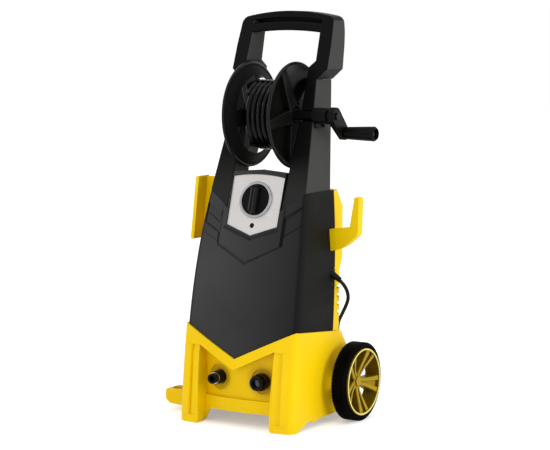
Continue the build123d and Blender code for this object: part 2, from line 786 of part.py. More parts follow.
# ---------------------------------------------------------------- hose reel
disc_thickness = 3
rim_roll = 4
hub_radius = 26
hub_face = 58
window_inner = 44
window_outer = 84
spoke_width = 46
rib_width = 26                      # raised boxes that stiffen the spokes
bearing_radius = 17
bearing_end = {"left": 118, "right": 138}
shaft_left_end = 112
crank_hub_start = 145
crank_face = 157
crank_stub_radius = 8               # shaft's end in the crank

def radial_plane(angle):
    """A plane through the reel's axis: local X along the axis, local Y outwards."""
    return Plane(origin=(0, reel_y, reel_z), x_dir=(1, 0, 0),
                 z_dir=(0, -sin(radians(angle)), cos(radians(angle))))

for name, side, phase in (("left", -1, 55), ("right", 1, 8)):
    with BuildPart() as flange:
        with BuildSketch(radial_plane(0)):
            with BuildLine():
                Polyline((side * drum_half, reel_bore), (side * drum_half, 80),
                         (side * 54, 106), (side * 54, flange_radius - rim_roll),
                         (side * 56, flange_radius), (side * (flange_face - 2), flange_radius),
                         (side * flange_face, flange_radius - 2), (side * flange_face, 108),
                         (side * 57.5, 105),
                         (side * (drum_half + disc_thickness), 78),
                         (side * (drum_half + disc_thickness), hub_radius),
                         (side * hub_face, hub_radius), (side * hub_face, reel_bore),
                         close=True)
            make_face()
        revolve(axis=reel_axis)
        with BuildSketch(Plane.YZ.offset(-far)):
            with Locations((reel_y, reel_z)):
                Circle(window_outer)
                Circle(window_inner, mode=Mode.SUBTRACT)
                with PolarLocations(0, spoke_count, start_angle=phase):
                    Rectangle(flange_radius, spoke_width, align=(Align.MIN, Align.CENTER),
                              mode=Mode.SUBTRACT)
        extrude(amount=2 * far, mode=Mode.SUBTRACT)
        for i in range(spoke_count):
            with BuildSketch(radial_plane(phase + 360 / spoke_count * i)):
                with BuildLine():
                    Polyline((side * (drum_half + 1), hub_radius - 2),
                             (side * hub_face, hub_radius - 2), (side * 57, 106),
                             (side * (drum_half + 1), 79), close=True)
                make_face()
            extrude(amount=rib_width / 2, both=True)
    flange.part.label = f"reel_flange_{name}"
    export_step(flange.part, f"parts/reel_flange_{name}.step")

with BuildPart() as reel_drum:
    add(rod_x(-drum_half, drum_half, reel_y, reel_z, drum_radius))
    add(rod_x(-drum_half, drum_half, reel_y, reel_z, reel_bore), mode=Mode.SUBTRACT)
reel_drum.part.label = "reel_drum"
export_step(reel_drum.part, "parts/reel_drum.step")

hose_outer = drum_radius + hose_layers * hose_diameter
with BuildPart() as hose_winding:
    with BuildSketch(radial_plane(0)):
        with BuildLine():
            first = -hose_turns * hose_diameter / 2
            middle = hose_outer - hose_diameter / 2
            for i in range(hose_turns):
                x = first + i * hose_diameter
                ThreePointArc((x, middle), (x + hose_diameter / 2, hose_outer),
                              (x + hose_diameter, middle))
            Polyline((-first, middle), (-first, drum_radius + seat),
                     (first, drum_radius + seat), (first, middle))
        make_face()
    revolve(axis=reel_axis)
hose_winding.part.label = "hose_winding"
export_step(hose_winding.part, "parts/hose_winding.step")

with BuildPart() as reel_shaft:
    add(rod_x(-shaft_left_end, crank_hub_start, reel_y, reel_z, reel_shaft_radius))
    add(rod_x(crank_hub_start, crank_face, reel_y, reel_z, crank_stub_radius))
reel_shaft.part.label = "reel_shaft"
export_step(reel_shaft.part, "parts/reel_shaft.step")

bearing_plate = 5
bearing_plate_wide = 40
bearing_plate_high = 43
bearing_plate_drop = 5.5            # the plate's middle below the shaft
bearing_bolt_z = 14
bearing_bolt_y = 25
bolt_head = 4
for name, side in side_signs():
    outside = side_face(side, reel_z, reel_y)
    with BuildPart() as barrel:
        add(rod_x(side * (arm_outer_x(reel_z) - 6), side * bearing_end[name], reel_y, reel_z,
                  bearing_radius))
        split(bisect_by=outside, keep=Keep.TOP)
    with BuildPart() as bearing:
        with BuildSketch(side_face(side, reel_z - bearing_plate_drop, reel_y)):
            with Locations((bearing_plate_wide / 2 - 8, 0)):
                RectangleRounded(bearing_plate_wide, bearing_plate_high, 6)
        extrude(amount=bearing_plate)
        add(barrel.part)
        add(rod_x(-far, far, reel_y, reel_z, reel_shaft_radius + running), mode=Mode.SUBTRACT)
    bearing.part.label = f"reel_bearing_{name}"
    export_step(bearing.part, f"parts/reel_bearing_{name}.step")

with BuildPart() as bearing_bolts:
    for name, side in side_signs():
        plate = side_face(side, reel_z - bearing_plate_drop, reel_y)
        with BuildSketch(plate.offset(bearing_plate)):
            with Locations((bearing_bolt_y, -bearing_bolt_z), (bearing_bolt_y, bearing_bolt_z)):
                RegularPolygon(6, 6)
        extrude(amount=bolt_head)
bearing_bolts.part.label = "bearing_bolts"
export_step(bearing_bolts.part, "parts/bearing_bolts.step")

# Crank, hanging down and back at rest
crank_throw_y = 40
crank_throw_z = -37
crank_thickness = 12
crank_hub_radius = 19
crank_tip_radius = 15
pin_radius = 5
grip_end = 230
grip_root_radius = 13.5
grip_end_radius = 16
grip_hollow = 12
grip_flutes = 10
flute_radius = 1.5
pin_head = 7.5
crank_nut_radius = 9
crank_nut_height = 4
grip_y = reel_y + crank_throw_y
grip_z = reel_z + crank_throw_z

with BuildPart() as crank_arm:
    with BuildSketch(Plane.YZ.offset(crank_face - crank_thickness)):
        with Locations((reel_y, reel_z)):
            Circle(crank_hub_radius)
        with Locations((grip_y, grip_z)):
            Circle(crank_tip_radius)
        make_hull()
    extrude(amount=crank_thickness)
    add(rod_x(crank_hub_start, crank_face + 1, reel_y, reel_z, crank_hub_radius - 1))
    add(rod_x(-far, far, reel_y, reel_z, crank_stub_radius + fit_gap), mode=Mode.SUBTRACT)
    add(rod_x(-far, far, grip_y, grip_z, pin_radius + fit_gap), mode=Mode.SUBTRACT)
crank_arm.part.label = "crank_arm"
export_step(crank_arm.part, "parts/crank_arm.step")

with BuildPart() as crank_nut:
    with BuildSketch(Plane.YZ.offset(crank_face + 1)):
        with Locations((reel_y, reel_z)):
            RegularPolygon(crank_nut_radius, 6)
    extrude(amount=crank_nut_height)
crank_nut.part.label = "crank_nut"
export_step(crank_nut.part, "parts/crank_nut.step")

with BuildPart() as grip_pin:
    add(rod_x(crank_face - crank_thickness, grip_end - grip_hollow + 3.5, grip_y, grip_z,
              pin_radius))
    add(rod_x(grip_end - grip_hollow + seat, grip_end - grip_hollow + 3.5, grip_y, grip_z,
              pin_head))
grip_pin.part.label = "grip_pin"
export_step(grip_pin.part, "parts/grip_pin.step")

def flute(angle):
    """A lengthwise groove for the grip's outside, following its taper."""
    with BuildPart() as groove:
        for x, radius in ((crank_face + 9, grip_root_radius + 1), (grip_end - 9, grip_end_radius)):
            with BuildSketch(Plane.YZ.offset(x)):
                with Locations((grip_y + radius * cos(radians(angle)),
                                grip_z + radius * sin(radians(angle)))):
                    Circle(flute_radius)
        loft()
    return groove.part

grip_plane = Plane(origin=(0, grip_y, grip_z), x_dir=(1, 0, 0), z_dir=(0, 0, 1))
with BuildPart() as crank_grip:
    with BuildSketch(grip_plane):
        with BuildLine():
            Polyline((crank_face + 1, pin_radius + running), (crank_face + 1, grip_root_radius - 1.5),
                     (crank_face + 3, grip_root_radius), (grip_end - 4, grip_end_radius),
                     (grip_end, grip_end_radius - 3), (grip_end, grip_end_radius - 4.5),
                     (grip_end - grip_hollow, grip_end_radius - 4.5),
                     (grip_end - grip_hollow, pin_radius + running), close=True)
        make_face()
    revolve(axis=Axis((0, grip_y, grip_z), (1, 0, 0)))
    with BuildSketch(Plane.YZ.offset(grip_end - grip_hollow)):
        with Locations((grip_y, grip_z)):
            with PolarLocations(pin_head + 1, 4, start_angle=45):
                Rectangle(grip_end_radius - 4 - pin_head - 1, 2, align=(Align.MIN, Align.CENTER))
    extrude(amount=grip_hollow - 2)
    for i in range(grip_flutes):
        add(flute(360 / grip_flutes * i), mode=Mode.SUBTRACT)
crank_grip.part.label = "crank_grip"
export_step(crank_grip.part, "parts/crank_grip.step")

# ---------------------------------------------------------------- wheels
rim_inner_radius = 68
rim_lip = 203
spoke_inside = 188
spoke_outside = 200
wheel_spokes = 5
blade = ((13, 1.5), (69, 5), (69, 13), (13, 6.5))    # one of a spoke's two blades
web_thickness = 3
wheel_hub_radius = 15
tyre_round = 6
hub_cap_radius = 13
hub_cap_start = 203.6
axle_end = 205

with BuildPart() as axle:
    add(rod_x(-axle_end, axle_end, wheel_y, wheel_z, axle_radius))
axle.part.label = "axle"
export_step(axle.part, "parts/axle.step")

for name, side in side_signs():
    with BuildPart() as tyre:
        add(rod_x(side * wheel_inner, side * (wheel_inner + wheel_width), wheel_y, wheel_z,
                  wheel_radius))
        fillet(tyre.edges().filter_by(GeomType.CIRCLE), tyre_round)
        add(rod_x(side * wheel_inner, side * (wheel_inner + wheel_width), wheel_y, wheel_z,
                  rim_radius + fit_gap), mode=Mode.SUBTRACT)
    tyre.part.label = f"tyre_{name}"
    export_step(tyre.part, f"parts/tyre_{name}.step")

    with BuildPart() as rim:
        add(rod_x(side * wheel_inner, side * rim_lip, wheel_y, wheel_z, rim_radius))
        chamfer(rim.edges().filter_by(GeomType.CIRCLE), 1.2)
        add(rod_x(side * wheel_inner, side * rim_lip, wheel_y, wheel_z, rim_inner_radius),
            mode=Mode.SUBTRACT)
        with BuildSketch(Plane.YZ.offset(side * spoke_inside)):
            with Locations((wheel_y, wheel_z)):
                with PolarLocations(0, wheel_spokes):
                    Polygon(*blade, align=None)
                    Polygon(*[(x, -y) for x, y in reversed(blade)], align=None)
        extrude(amount=side * (spoke_outside - spoke_inside))
        # thin web joining each pair of blades
        with BuildSketch(Plane.YZ.offset(side * spoke_inside)):
            with Locations((wheel_y, wheel_z)):
                with PolarLocations(0, wheel_spokes):
                    Polygon((13, -4), (69, -9), (69, 9), (13, 4), align=None)
        extrude(amount=side * web_thickness)
        add(rod_x(side * (wheel_inner + 2), side * rim_lip, wheel_y, wheel_z, wheel_hub_radius))
        add(rod_x(side * wheel_inner, side * far, wheel_y, wheel_z, axle_radius + running),
            mode=Mode.SUBTRACT)
    rim.part.label = f"rim_{name}"
    export_step(rim.part, f"parts/rim_{name}.step")

    with BuildPart() as hub_cap:
        add(rod_x(side * hub_cap_start, side * (axle_end + 2), wheel_y, wheel_z, hub_cap_radius))
        outer_edges = hub_cap.edges().filter_by(GeomType.CIRCLE).sort_by(Axis.X)
        fillet(outer_edges[-1] if side > 0 else outer_edges[0], 1.5)
        add(rod_x(side * hub_cap_start, side * axle_end, wheel_y, wheel_z,
                  axle_radius + fit_gap), mode=Mode.SUBTRACT)
    hub_cap.part.label = f"hub_cap_{name}"
    export_step(hub_cap.part, f"parts/hub_cap_{name}.step")

# ---------------------------------------------------------------- cord hook and lance holder
hook_root_x = 114
hook_throat = (179, 421)            # where the arm meets the lip
hook_tip = (190.5, 486)
hook_tip_outer = (201, 484)
hook_heel = (199, 410)
hook_y = (36.5, 56.5)

with BuildPart() as cord_hook:
    with BuildSketch(Plane.XZ.offset(-hook_y[1])):
        with BuildLine():
            low, high = hook_notch[:2]
            Polyline((hook_root_x, low), (hook_root_x, high), (134, high + 0.5), hook_throat,
                     hook_tip, hook_tip_outer, hook_heel)
            Spline(hook_heel, (192, 399), (161, 376), (136, low),
                   tangents=((-0.1, -1), (-1, -0.25)))
            Line((136, low), (hook_root_x, low))
        make_face()
        fillet(vertices().group_by(Axis.Y)[-2:][0] + vertices().group_by(Axis.Y)[-1], 3)
    extrude(amount=hook_y[1] - hook_y[0])
cord_hook.part.label = "cord_hook"
export_step(cord_hook.part, "parts/cord_hook.step")

holder_top = 522
holder_low = 381
holder_thickness = 8
holder_top_x = 158
holder_low_x = 173
holder_lip_y = (-35, 6)
holder_web_y = (-2, 6)
holder_pad_x = 136                  # foot of the holder on the housing's side
holder_pad_top = 462

with BuildPart() as lance_holder:
    with BuildSketch(Plane.XZ.offset(-holder_lip_y[0])):
        with BuildLine():
            Polyline((-holder_top_x, holder_top), (-holder_top_x - holder_thickness, holder_top - 2),
                     (-holder_low_x - holder_thickness, holder_low + 2),
                     (-holder_low_x, holder_low), close=True)
        make_face()
        fillet(vertices(), 2.5)
    extrude(amount=holder_lip_y[0] - holder_lip_y[1])
    with BuildSketch(Plane.XZ.offset(-holder_web_y[0])):
        with BuildLine():
            Polyline((-holder_top_x - 3, holder_top - 3), (-holder_low_x - 3, holder_low + 8),
                     (-90, holder_low - 4), (-90, holder_top - 3), close=True)
        make_face()
    extrude(amount=holder_web_y[0] - holder_web_y[1])
    add(slab(-holder_pad_x, -100, holder_lip_y[0] + 4, holder_web_y[1], holder_low - 4,
             holder_pad_top))
    add(skin_form, mode=Mode.SUBTRACT)
lance_holder.part.label = "lance_holder"
export_step(lance_holder.part, "parts/lance_holder.step")

# ---------------------------------------------------------------- water connectors
outlet_radius = 14.5
outlet_tip_radius = 11
outlet_bore = 6
outlet_shoulder_y = -131
ring_seat_radius = 10.4             # groove that the outlet's ring sits in
ring_groove = 3.6
connector_end_y = -145
connector_root_y = -92
inlet_nut_radius = 18.5
inlet_tip_radius = 15
inlet_bore = 9.5
inlet_nut_y = (-113.5, -130)
inlet_lobes = 10
pipe_radius = 9

def turned_y(points, x):
    """A piece turned about the connector axis parallel to Y, from (depth, radius) points."""
    with BuildPart() as turned:
        with BuildSketch(Plane.XY.offset(connector_z)):
            with BuildLine():
                Polyline(*[(x + r, y) for y, r in points], close=True)
            make_face()
        revolve(axis=Axis((x, 0, connector_z), (0, 1, 0)))
    return turned.part

with BuildPart() as outlet_connector:
    add(turned_y(((connector_root_y, 4), (connector_root_y, outlet_radius),
                  (outlet_shoulder_y + 1.5, outlet_radius), (outlet_shoulder_y, outlet_radius - 1.5),
                  (outlet_shoulder_y, ring_seat_radius),
                  (outlet_shoulder_y - ring_groove, ring_seat_radius),
                  (outlet_shoulder_y - ring_groove, outlet_tip_radius),
                  (connector_end_y + 1, outlet_tip_radius),
                  (connector_end_y, outlet_tip_radius - 1), (connector_end_y, outlet_bore + 1),
                  (connector_end_y + 1, outlet_bore), (-110, outlet_bore), (-110, 4)),
                 -connector_x))
outlet_connector.part.label = "outlet_connector"
export_step(outlet_connector.part, "parts/outlet_connector.step")

with BuildPart() as outlet_ring:
    add(turned_y(((outlet_shoulder_y - seat, ring_seat_radius + fit_gap),
                  (outlet_shoulder_y - seat, outlet_tip_radius + 1.6),
                  (outlet_shoulder_y - ring_groove + seat, outlet_tip_radius + 1.6),
                  (outlet_shoulder_y - ring_groove + seat, ring_seat_radius + fit_gap)),
                 -connector_x))
outlet_ring.part.label = "outlet_ring"
export_step(outlet_ring.part, "parts/outlet_ring.step")

with BuildPart() as inlet_connector:
    add(turned_y(((connector_root_y, inlet_bore), (connector_root_y, outlet_radius),
                  (inlet_nut_y[0], outlet_radius), (inlet_nut_y[0], inlet_nut_radius - 1),
                  (inlet_nut_y[1], inlet_nut_radius - 1), (inlet_nut_y[1], inlet_tip_radius),
                  (connector_end_y + 4, inlet_tip_radius),
                  (connector_end_y + 3, inlet_tip_radius - 1),
                  (connector_end_y + 3, inlet_bore)), connector_x))
    with BuildSketch(Plane.XZ.offset(-inlet_nut_y[0])):
        with Locations((connector_x, connector_z)):
            with PolarLocations(inlet_nut_radius - 2, inlet_lobes):
                Circle(2.2)
    extrude(amount=inlet_nut_y[0] - inlet_nut_y[1])
inlet_connector.part.label = "inlet_connector"
export_step(inlet_connector.part, "parts/inlet_connector.step")

with BuildPart() as inlet_filter:
    add(turned_y(((-128, 0.01), (-128, inlet_bore - fit_gap), (-125, inlet_bore - fit_gap),
                  (-125, inlet_bore - 2), (-112, 4), (-112, 0.01)), connector_x))
inlet_filter.part.label = "inlet_filter"
export_step(inlet_filter.part, "parts/inlet_filter.step")

# ---------------------------------------------------------------- pump and motor
motor_radius = 55
motor_y = -8
pump_radius = 50
pump_top = 200
motor_top = 370
bell_height = 26
motor_step = 4                      # how far the end bells stand out from the motor's barrel
fan_top = 395
manifold_half = 66
manifold_low = 82
manifold_high = 118
manifold_back = -40
manifold_front = -74
capacitor_radius = 17
capacitor_angle = 40
capacitor_low = 230
capacitor_high = 300

def drum_z(x, y, low, high, radius):
    """An upright round body between two heights."""
    with BuildPart() as body:
        with BuildSketch(Plane.XY.offset(low)):
            with Locations((x, y)):
                Circle(radius)
        extrude(amount=high - low)
    return body.part

with BuildPart() as pump_body:
    add(drum_z(0, motor_y, deck_z + deck_thickness + seat, pump_top, pump_radius))
    add(drum_z(0, motor_y, pump_top - 14, pump_top, motor_radius))
pump_body.part.label = "pump_body"
export_step(pump_body.part, "parts/pump_body.step")

with BuildPart() as pump_manifold:
    add(slab(-manifold_half, manifold_half, manifold_front, manifold_back, manifold_low,
             manifold_high))
    fillet(pump_manifold.edges().filter_by(Axis.Z), 6)
    for x in (-connector_x, connector_x):
        with BuildSketch(Plane.XZ.offset(-manifold_front)):
            with Locations((x, connector_z)):
                Circle(pipe_radius)
        extrude(amount=manifold_front - connector_root_y - seat)
    add(drum_z(0, motor_y, 0, 300, pump_radius + seat), mode=Mode.SUBTRACT)
pump_manifold.part.label = "pump_manifold"
export_step(pump_manifold.part, "parts/pump_manifold.step")

with BuildPart() as motor:
    add(drum_z(0, motor_y, pump_top + seat, motor_top, motor_radius - motor_step))
    add(drum_z(0, motor_y, pump_top + seat, pump_top + bell_height, motor_radius))
    add(drum_z(0, motor_y, motor_top - bell_height, motor_top, motor_radius))
motor.part.label = "motor"
export_step(motor.part, "parts/motor.step")

with BuildPart() as fan_cover:
    add(drum_z(0, motor_y, motor_top + seat, fan_top, motor_radius - 1))
    fillet(fan_cover.edges().group_by(Axis.Z)[-1], 8)
    with Locations((0, motor_y, fan_top)):
        with PolarLocations(28, 10):
            Box(26, 5, 8, mode=Mode.SUBTRACT)
fan_cover.part.label = "fan_cover"
export_step(fan_cover.part, "parts/fan_cover.step")

with BuildPart() as capacitor:
    reach = motor_radius - motor_step + capacitor_radius + seat
    add(drum_z(reach * cos(radians(capacitor_angle)), motor_y + reach * sin(radians(capacitor_angle)),
               capacitor_low, capacitor_high, capacitor_radius))
    fillet(capacitor.edges().filter_by(GeomType.CIRCLE), 2)
capacitor.part.label = "capacitor"
export_step(capacitor.part, "parts/capacitor.step")

# ---------------------------------------------------------------- power cord
cord_diameter = 8
cord_radius = cord_diameter / 2
cord_floor = cord_radius + 0.3
gland_exit = (134, 41.5, 317)
cord_route = (gland_exit, (150, 50, 303), (160, 60, 284), (158.5, 71, 262), (143, 85, 241),
              (125, 101, 221), (105, 119, 199), (92, 140, 173), (82, 158, 145), (73, 172, 112),
              (64, 183, 78), (54, 191, 44), (39, 200, 19), (15, 214, cord_floor + 1.5),
              (-10, 233, cord_floor), (-27, 256, cord_floor), (-35, 278, cord_floor))
coil_mean = 48
coil_width = 34
coil_height = 33.5
coil_x = -95
coil_y = 285

def run_radii(points):
    """Bend radius for each corner of a route, as large as its shorter run lets it be."""
    radii = []
    for before, corner, after in zip(points, points[1:], points[2:]):
        one = Vector(corner) - Vector(before)
        two = Vector(after) - Vector(corner)
        turn = radians(one.get_angle(two))
        radii.append(round(0.45 * min(one.length, two.length) / tan(turn / 2), 1))
    return radii

def cord_tube(name, route):
    """The tube of one stretch of cord, with its path's length and volume printed."""
    radii = run_radii(route)
    with BuildPart() as tube:
        with BuildLine():
            FilletPolyline(*route, radius=radii)
        path = tube.pending_edges_as_wire
        with BuildSketch(Plane(origin=route[0], z_dir=Vector(route[1]) - Vector(route[0]))):
            Circle(cord_radius)
        sweep(path=path)
    share = tube.part.volume / (pi * cord_radius ** 2 * path.length)
    print(name, "bend radii", radii, "length", round(path.length), "volume share", round(share, 3))
    tube.part.label = name
    export_step(tube.part, f"parts/{name}.step")

cord_tube("power_cord", cord_route)

with BuildPart() as cord_coil:
    with BuildSketch(Plane.XZ.offset(-coil_y)):
        with Locations((coil_x + coil_mean, 0.3 + coil_height / 2)):
            RectangleRounded(coil_width, coil_height, 4)
    revolve(axis=Axis((coil_x, coil_y, 0), (0, 0, 1)))
cord_coil.part.label = "cord_coil"
export_step(cord_coil.part, "parts/cord_coil.step")

# Cable gland in both covers, with a boot round the cord's first stretch
gland_mid_y = (gland_notch[2] + gland_notch[3]) / 2
gland_low, gland_high = gland_notch[:2]
gland_inner_x = 122
gland_face_x = 135
boot_back = 6                       # how far the boot's root stands inside the gland
boot_straight = 14
boot_length = 22
boot_root_radius = 8
boot_tip_radius = 5.8
boot_mouth_radius = 4.8
exit_plane = Plane(origin=gland_exit, z_dir=Vector(cord_route[1]) - Vector(gland_exit))

with BuildPart() as cord_boot:
    with BuildSketch(exit_plane.offset(-boot_back)):
        Circle(boot_root_radius)
    with BuildSketch(exit_plane.offset(boot_length)):
        Circle(boot_tip_radius)
    loft()
    with BuildSketch(exit_plane):
        Circle(cord_radius + running)
    extrude(amount=boot_length, mode=Mode.SUBTRACT)
    with BuildSketch(exit_plane.offset(boot_straight)):
        Circle(cord_radius + running)
    with BuildSketch(exit_plane.offset(boot_length)):
        Circle(boot_mouth_radius)
    loft(mode=Mode.SUBTRACT)
cord_boot.part.label = "cord_boot"
export_step(cord_boot.part, "parts/cord_boot.step")

with BuildPart() as cord_gland:
    with BuildSketch(Plane.YZ.offset(gland_inner_x)):
        with Locations((gland_mid_y, (gland_low + gland_high) / 2)):
            RectangleRounded(gland_notch[3] - gland_notch[2], gland_high - gland_low, 4)
    extrude(amount=gland_face_x - gland_inner_x)
    chamfer(cord_gland.faces().sort_by(Axis.X)[-1].edges(), 1)
    with BuildSketch(exit_plane.offset(-boot_back - 0.5)):
        Circle(boot_root_radius + 0.4)
    extrude(amount=60, mode=Mode.SUBTRACT)
cord_gland.part.label = "cord_gland"
export_step(cord_gland.part, "parts/cord_gland.step")

# Earthed plug beside the coil, its tail towards the turn that runs into it
plug_radius = 19
plug_length = 34
plug_pin_radius = 2.4
plug_pin_spread = 9.5
plug_pin_length = 19
plug_tail_radius = 6
plug_tail_length = 24
plug_x = coil_x - coil_mean - coil_width / 2 - 1
plug_tail_y = coil_y - 41
plug_z = plug_radius + 0.3
tail_turn = (plug_x + 2.5, coil_y - 25, plug_z)
tail_end = (plug_x, plug_tail_y, plug_z)

cord_tube("cord_tail", ((coil_x - coil_mean - coil_width / 2 + 6, coil_y - 9.7, plug_z + 3),
                        tail_turn, tail_end))

# local X of the plug's plane is up, so its two pins lie level
plug_plane = Plane(origin=tail_end, x_dir=(0, 0, 1), z_dir=Vector(tail_end) - Vector(tail_turn))
with BuildPart() as power_plug:
    with BuildSketch(plug_plane):
        Circle(plug_tail_radius)
    with BuildSketch(plug_plane.offset(plug_tail_length)):
        Circle(plug_radius - 3)
    loft()
    with BuildSketch(plug_plane.offset(plug_tail_length)):
        Circle(plug_radius)
    extrude(amount=plug_length)
    with BuildSketch(plug_plane.offset(plug_tail_length + plug_length)):
        with Locations((0, -plug_pin_spread), (0, plug_pin_spread)):
            Circle(plug_pin_radius)
    extrude(amount=plug_pin_length)
power_plug.part.label = "power_plug"
export_step(power_plug.part, "parts/power_plug.step")

# ---------------------------------------------------------------- screws and feet
screw_radius = 4
screw_head = 2.2

# two screws in the back of each of the upper handle's tongues, inside the arms' channels
arm_screw_drop = (15, 33)           # below the arms' tops

with BuildPart() as arm_screws:
    with BuildSketch(Plane.XZ.offset(-(tenon_front + tenon_depth + seat))):
        for drop in arm_screw_drop:
            with Locations((-tenon_x, arm_top_z - drop), (tenon_x, arm_top_z - drop)):
                Circle(screw_radius)
                RegularPolygon(2, 6, mode=Mode.SUBTRACT)
    extrude(amount=-screw_head)
arm_screws.part.label = "arm_screws"
export_step(arm_screws.part, "parts/arm_screws.step")

cover_screw_x = 76
cover_screw_z = (425, 214)

def cover_back(z):
    """Depth of the rear cover's back face between its rows."""
    for low, high in zip(back_rows, back_rows[1:]):
        if z <= high[0]:
            break
    return low[1] + (high[1] - low[1]) * (z - low[0]) / (high[0] - low[0])

with BuildPart() as cover_screws:
    for z in cover_screw_z:
        with BuildSketch(Plane.XZ.offset(-cover_back(z + screw_radius) - seat)):
            with Locations((-cover_screw_x, z), (cover_screw_x, z)):
                Circle(screw_radius)
                RegularPolygon(2, 6, mode=Mode.SUBTRACT)
        extrude(amount=-screw_head)
cover_screws.part.label = "cover_screws"
export_step(cover_screws.part, "parts/cover_screws.step")
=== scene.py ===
import math

import bmesh
import bpy
from mathutils import Matrix, Vector


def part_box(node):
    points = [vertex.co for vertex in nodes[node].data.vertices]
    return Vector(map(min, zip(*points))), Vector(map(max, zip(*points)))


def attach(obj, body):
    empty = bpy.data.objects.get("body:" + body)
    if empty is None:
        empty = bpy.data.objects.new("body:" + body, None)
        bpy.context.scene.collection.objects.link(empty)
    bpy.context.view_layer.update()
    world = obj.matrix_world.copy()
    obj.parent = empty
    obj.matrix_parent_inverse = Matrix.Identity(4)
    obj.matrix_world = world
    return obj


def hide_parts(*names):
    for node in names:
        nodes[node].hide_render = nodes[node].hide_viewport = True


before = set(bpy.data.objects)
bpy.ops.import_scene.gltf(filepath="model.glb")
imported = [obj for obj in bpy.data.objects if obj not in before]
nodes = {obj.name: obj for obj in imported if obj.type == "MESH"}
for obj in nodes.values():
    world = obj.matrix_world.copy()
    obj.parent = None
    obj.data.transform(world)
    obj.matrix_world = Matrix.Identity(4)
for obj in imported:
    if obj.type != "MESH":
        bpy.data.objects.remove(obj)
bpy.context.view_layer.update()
print("frame loaded:", len(nodes), "solids")


# small helpers for node trees and meshes

def addNode(tree, kind, place, **values):
    node = tree.nodes.new(kind)
    node.location = place
    for name, value in values.items():
        setattr(node, name, value)
    return node


def setInputs(node, **values):
    for name, value in values.items():
        node.inputs[name.replace("_", " ")].default_value = value
    return node


def newGroup(name, inputs, outputs):
    group = bpy.data.node_groups.new(name, "ShaderNodeTree")
    for socketName, value in inputs.items():
        kind = "NodeSocketVector" if isinstance(value, tuple) else "NodeSocketFloat"
        socket = group.interface.new_socket(socketName, in_out="INPUT", socket_type=kind)
        socket.default_value = value
    for socketName, kind in outputs.items():
        group.interface.new_socket(socketName, in_out="OUTPUT", socket_type=kind)
    start = addNode(group, "NodeGroupInput", (-900, 0))
    end = addNode(group, "NodeGroupOutput", (700, 0))
    return group, start, end


def linear(red, green, blue):
    # a colour as a display shows it, turned to the linear value that a shader reads
    def one(value):
        value /= 255
        return value / 12.92 if value <= 0.04045 else ((value + 0.055) / 1.055) ** 2.4
    return (one(red), one(green), one(blue), 1.0)


# shared shader effects

def buildMouldGrain():
    # the fine spark-eroded texture of a moulded skin, with slow drifts in tone
    group, start, end = newGroup(
        "mouldGrain",
        {"Grain size": 900.0, "Drift size": 7.0},
        {"Height": "NodeSocketFloat", "Drift": "NodeSocketFloat"},
    )
    place = addNode(group, "ShaderNodeTexCoord", (-900, 200))
    grain = setInputs(addNode(group, "ShaderNodeTexNoise", (-600, 200)), Detail=3.0, Roughness=0.6)
    cells = setInputs(addNode(group, "ShaderNodeTexVoronoi", (-600, -60)), Randomness=1.0)
    drift = setInputs(addNode(group, "ShaderNodeTexNoise", (-600, -340)), Detail=2.0, Roughness=0.5)
    both = addNode(group, "ShaderNodeMath", (-300, 100), operation="MULTIPLY_ADD")
    both.inputs[1].default_value = 0.6
    link = group.links.new
    for node in (grain, cells, drift):
        link(place.outputs["Object"], node.inputs["Vector"])
    link(start.outputs["Grain size"], grain.inputs["Scale"])
    link(start.outputs["Grain size"], cells.inputs["Scale"])
    link(start.outputs["Drift size"], drift.inputs["Scale"])
    link(grain.outputs["Fac"], both.inputs[0])
    link(cells.outputs["Distance"], both.inputs[2])
    link(both.outputs[0], end.inputs["Height"])
    link(drift.outputs["Fac"], end.inputs["Drift"])
    return group


def buildFloorDust():
    # pale dust that thins out with height, broken up by noise
    group, start, end = newGroup(
        "floorDust",
        {"Reach": 0.12, "Amount": 0.3},
        {"Mask": "NodeSocketFloat"},
    )
    place = addNode(group, "ShaderNodeTexCoord", (-900, 200))
    parts = addNode(group, "ShaderNodeSeparateXYZ", (-700, 260))
    fade = addNode(group, "ShaderNodeMapRange", (-480, 260), interpolation_type="SMOOTHSTEP")
    setInputs(fade, To_Min=1.0, To_Max=0.0)
    speck = setInputs(addNode(group, "ShaderNodeTexNoise", (-700, -40)), Scale=60.0, Detail=6.0,
                      Roughness=0.65)
    broken = addNode(group, "ShaderNodeMapRange", (-480, -40))
    setInputs(broken, From_Min=0.42, From_Max=0.72)
    both = addNode(group, "ShaderNodeMath", (-220, 120), operation="MULTIPLY")
    scaled = addNode(group, "ShaderNodeMath", (0, 120), operation="MULTIPLY")
    link = group.links.new
    link(place.outputs["Object"], parts.inputs[0])
    link(place.outputs["Object"], speck.inputs["Vector"])
    link(parts.outputs["Z"], fade.inputs["Value"])
    link(start.outputs["Reach"], fade.inputs["From Max"])
    link(speck.outputs["Fac"], broken.inputs["Value"])
    link(fade.outputs["Result"], both.inputs[0])
    link(broken.outputs["Result"], both.inputs[1])
    link(both.outputs[0], scaled.inputs[0])
    link(start.outputs["Amount"], scaled.inputs[1])
    link(scaled.outputs[0], end.inputs["Mask"])
    return group


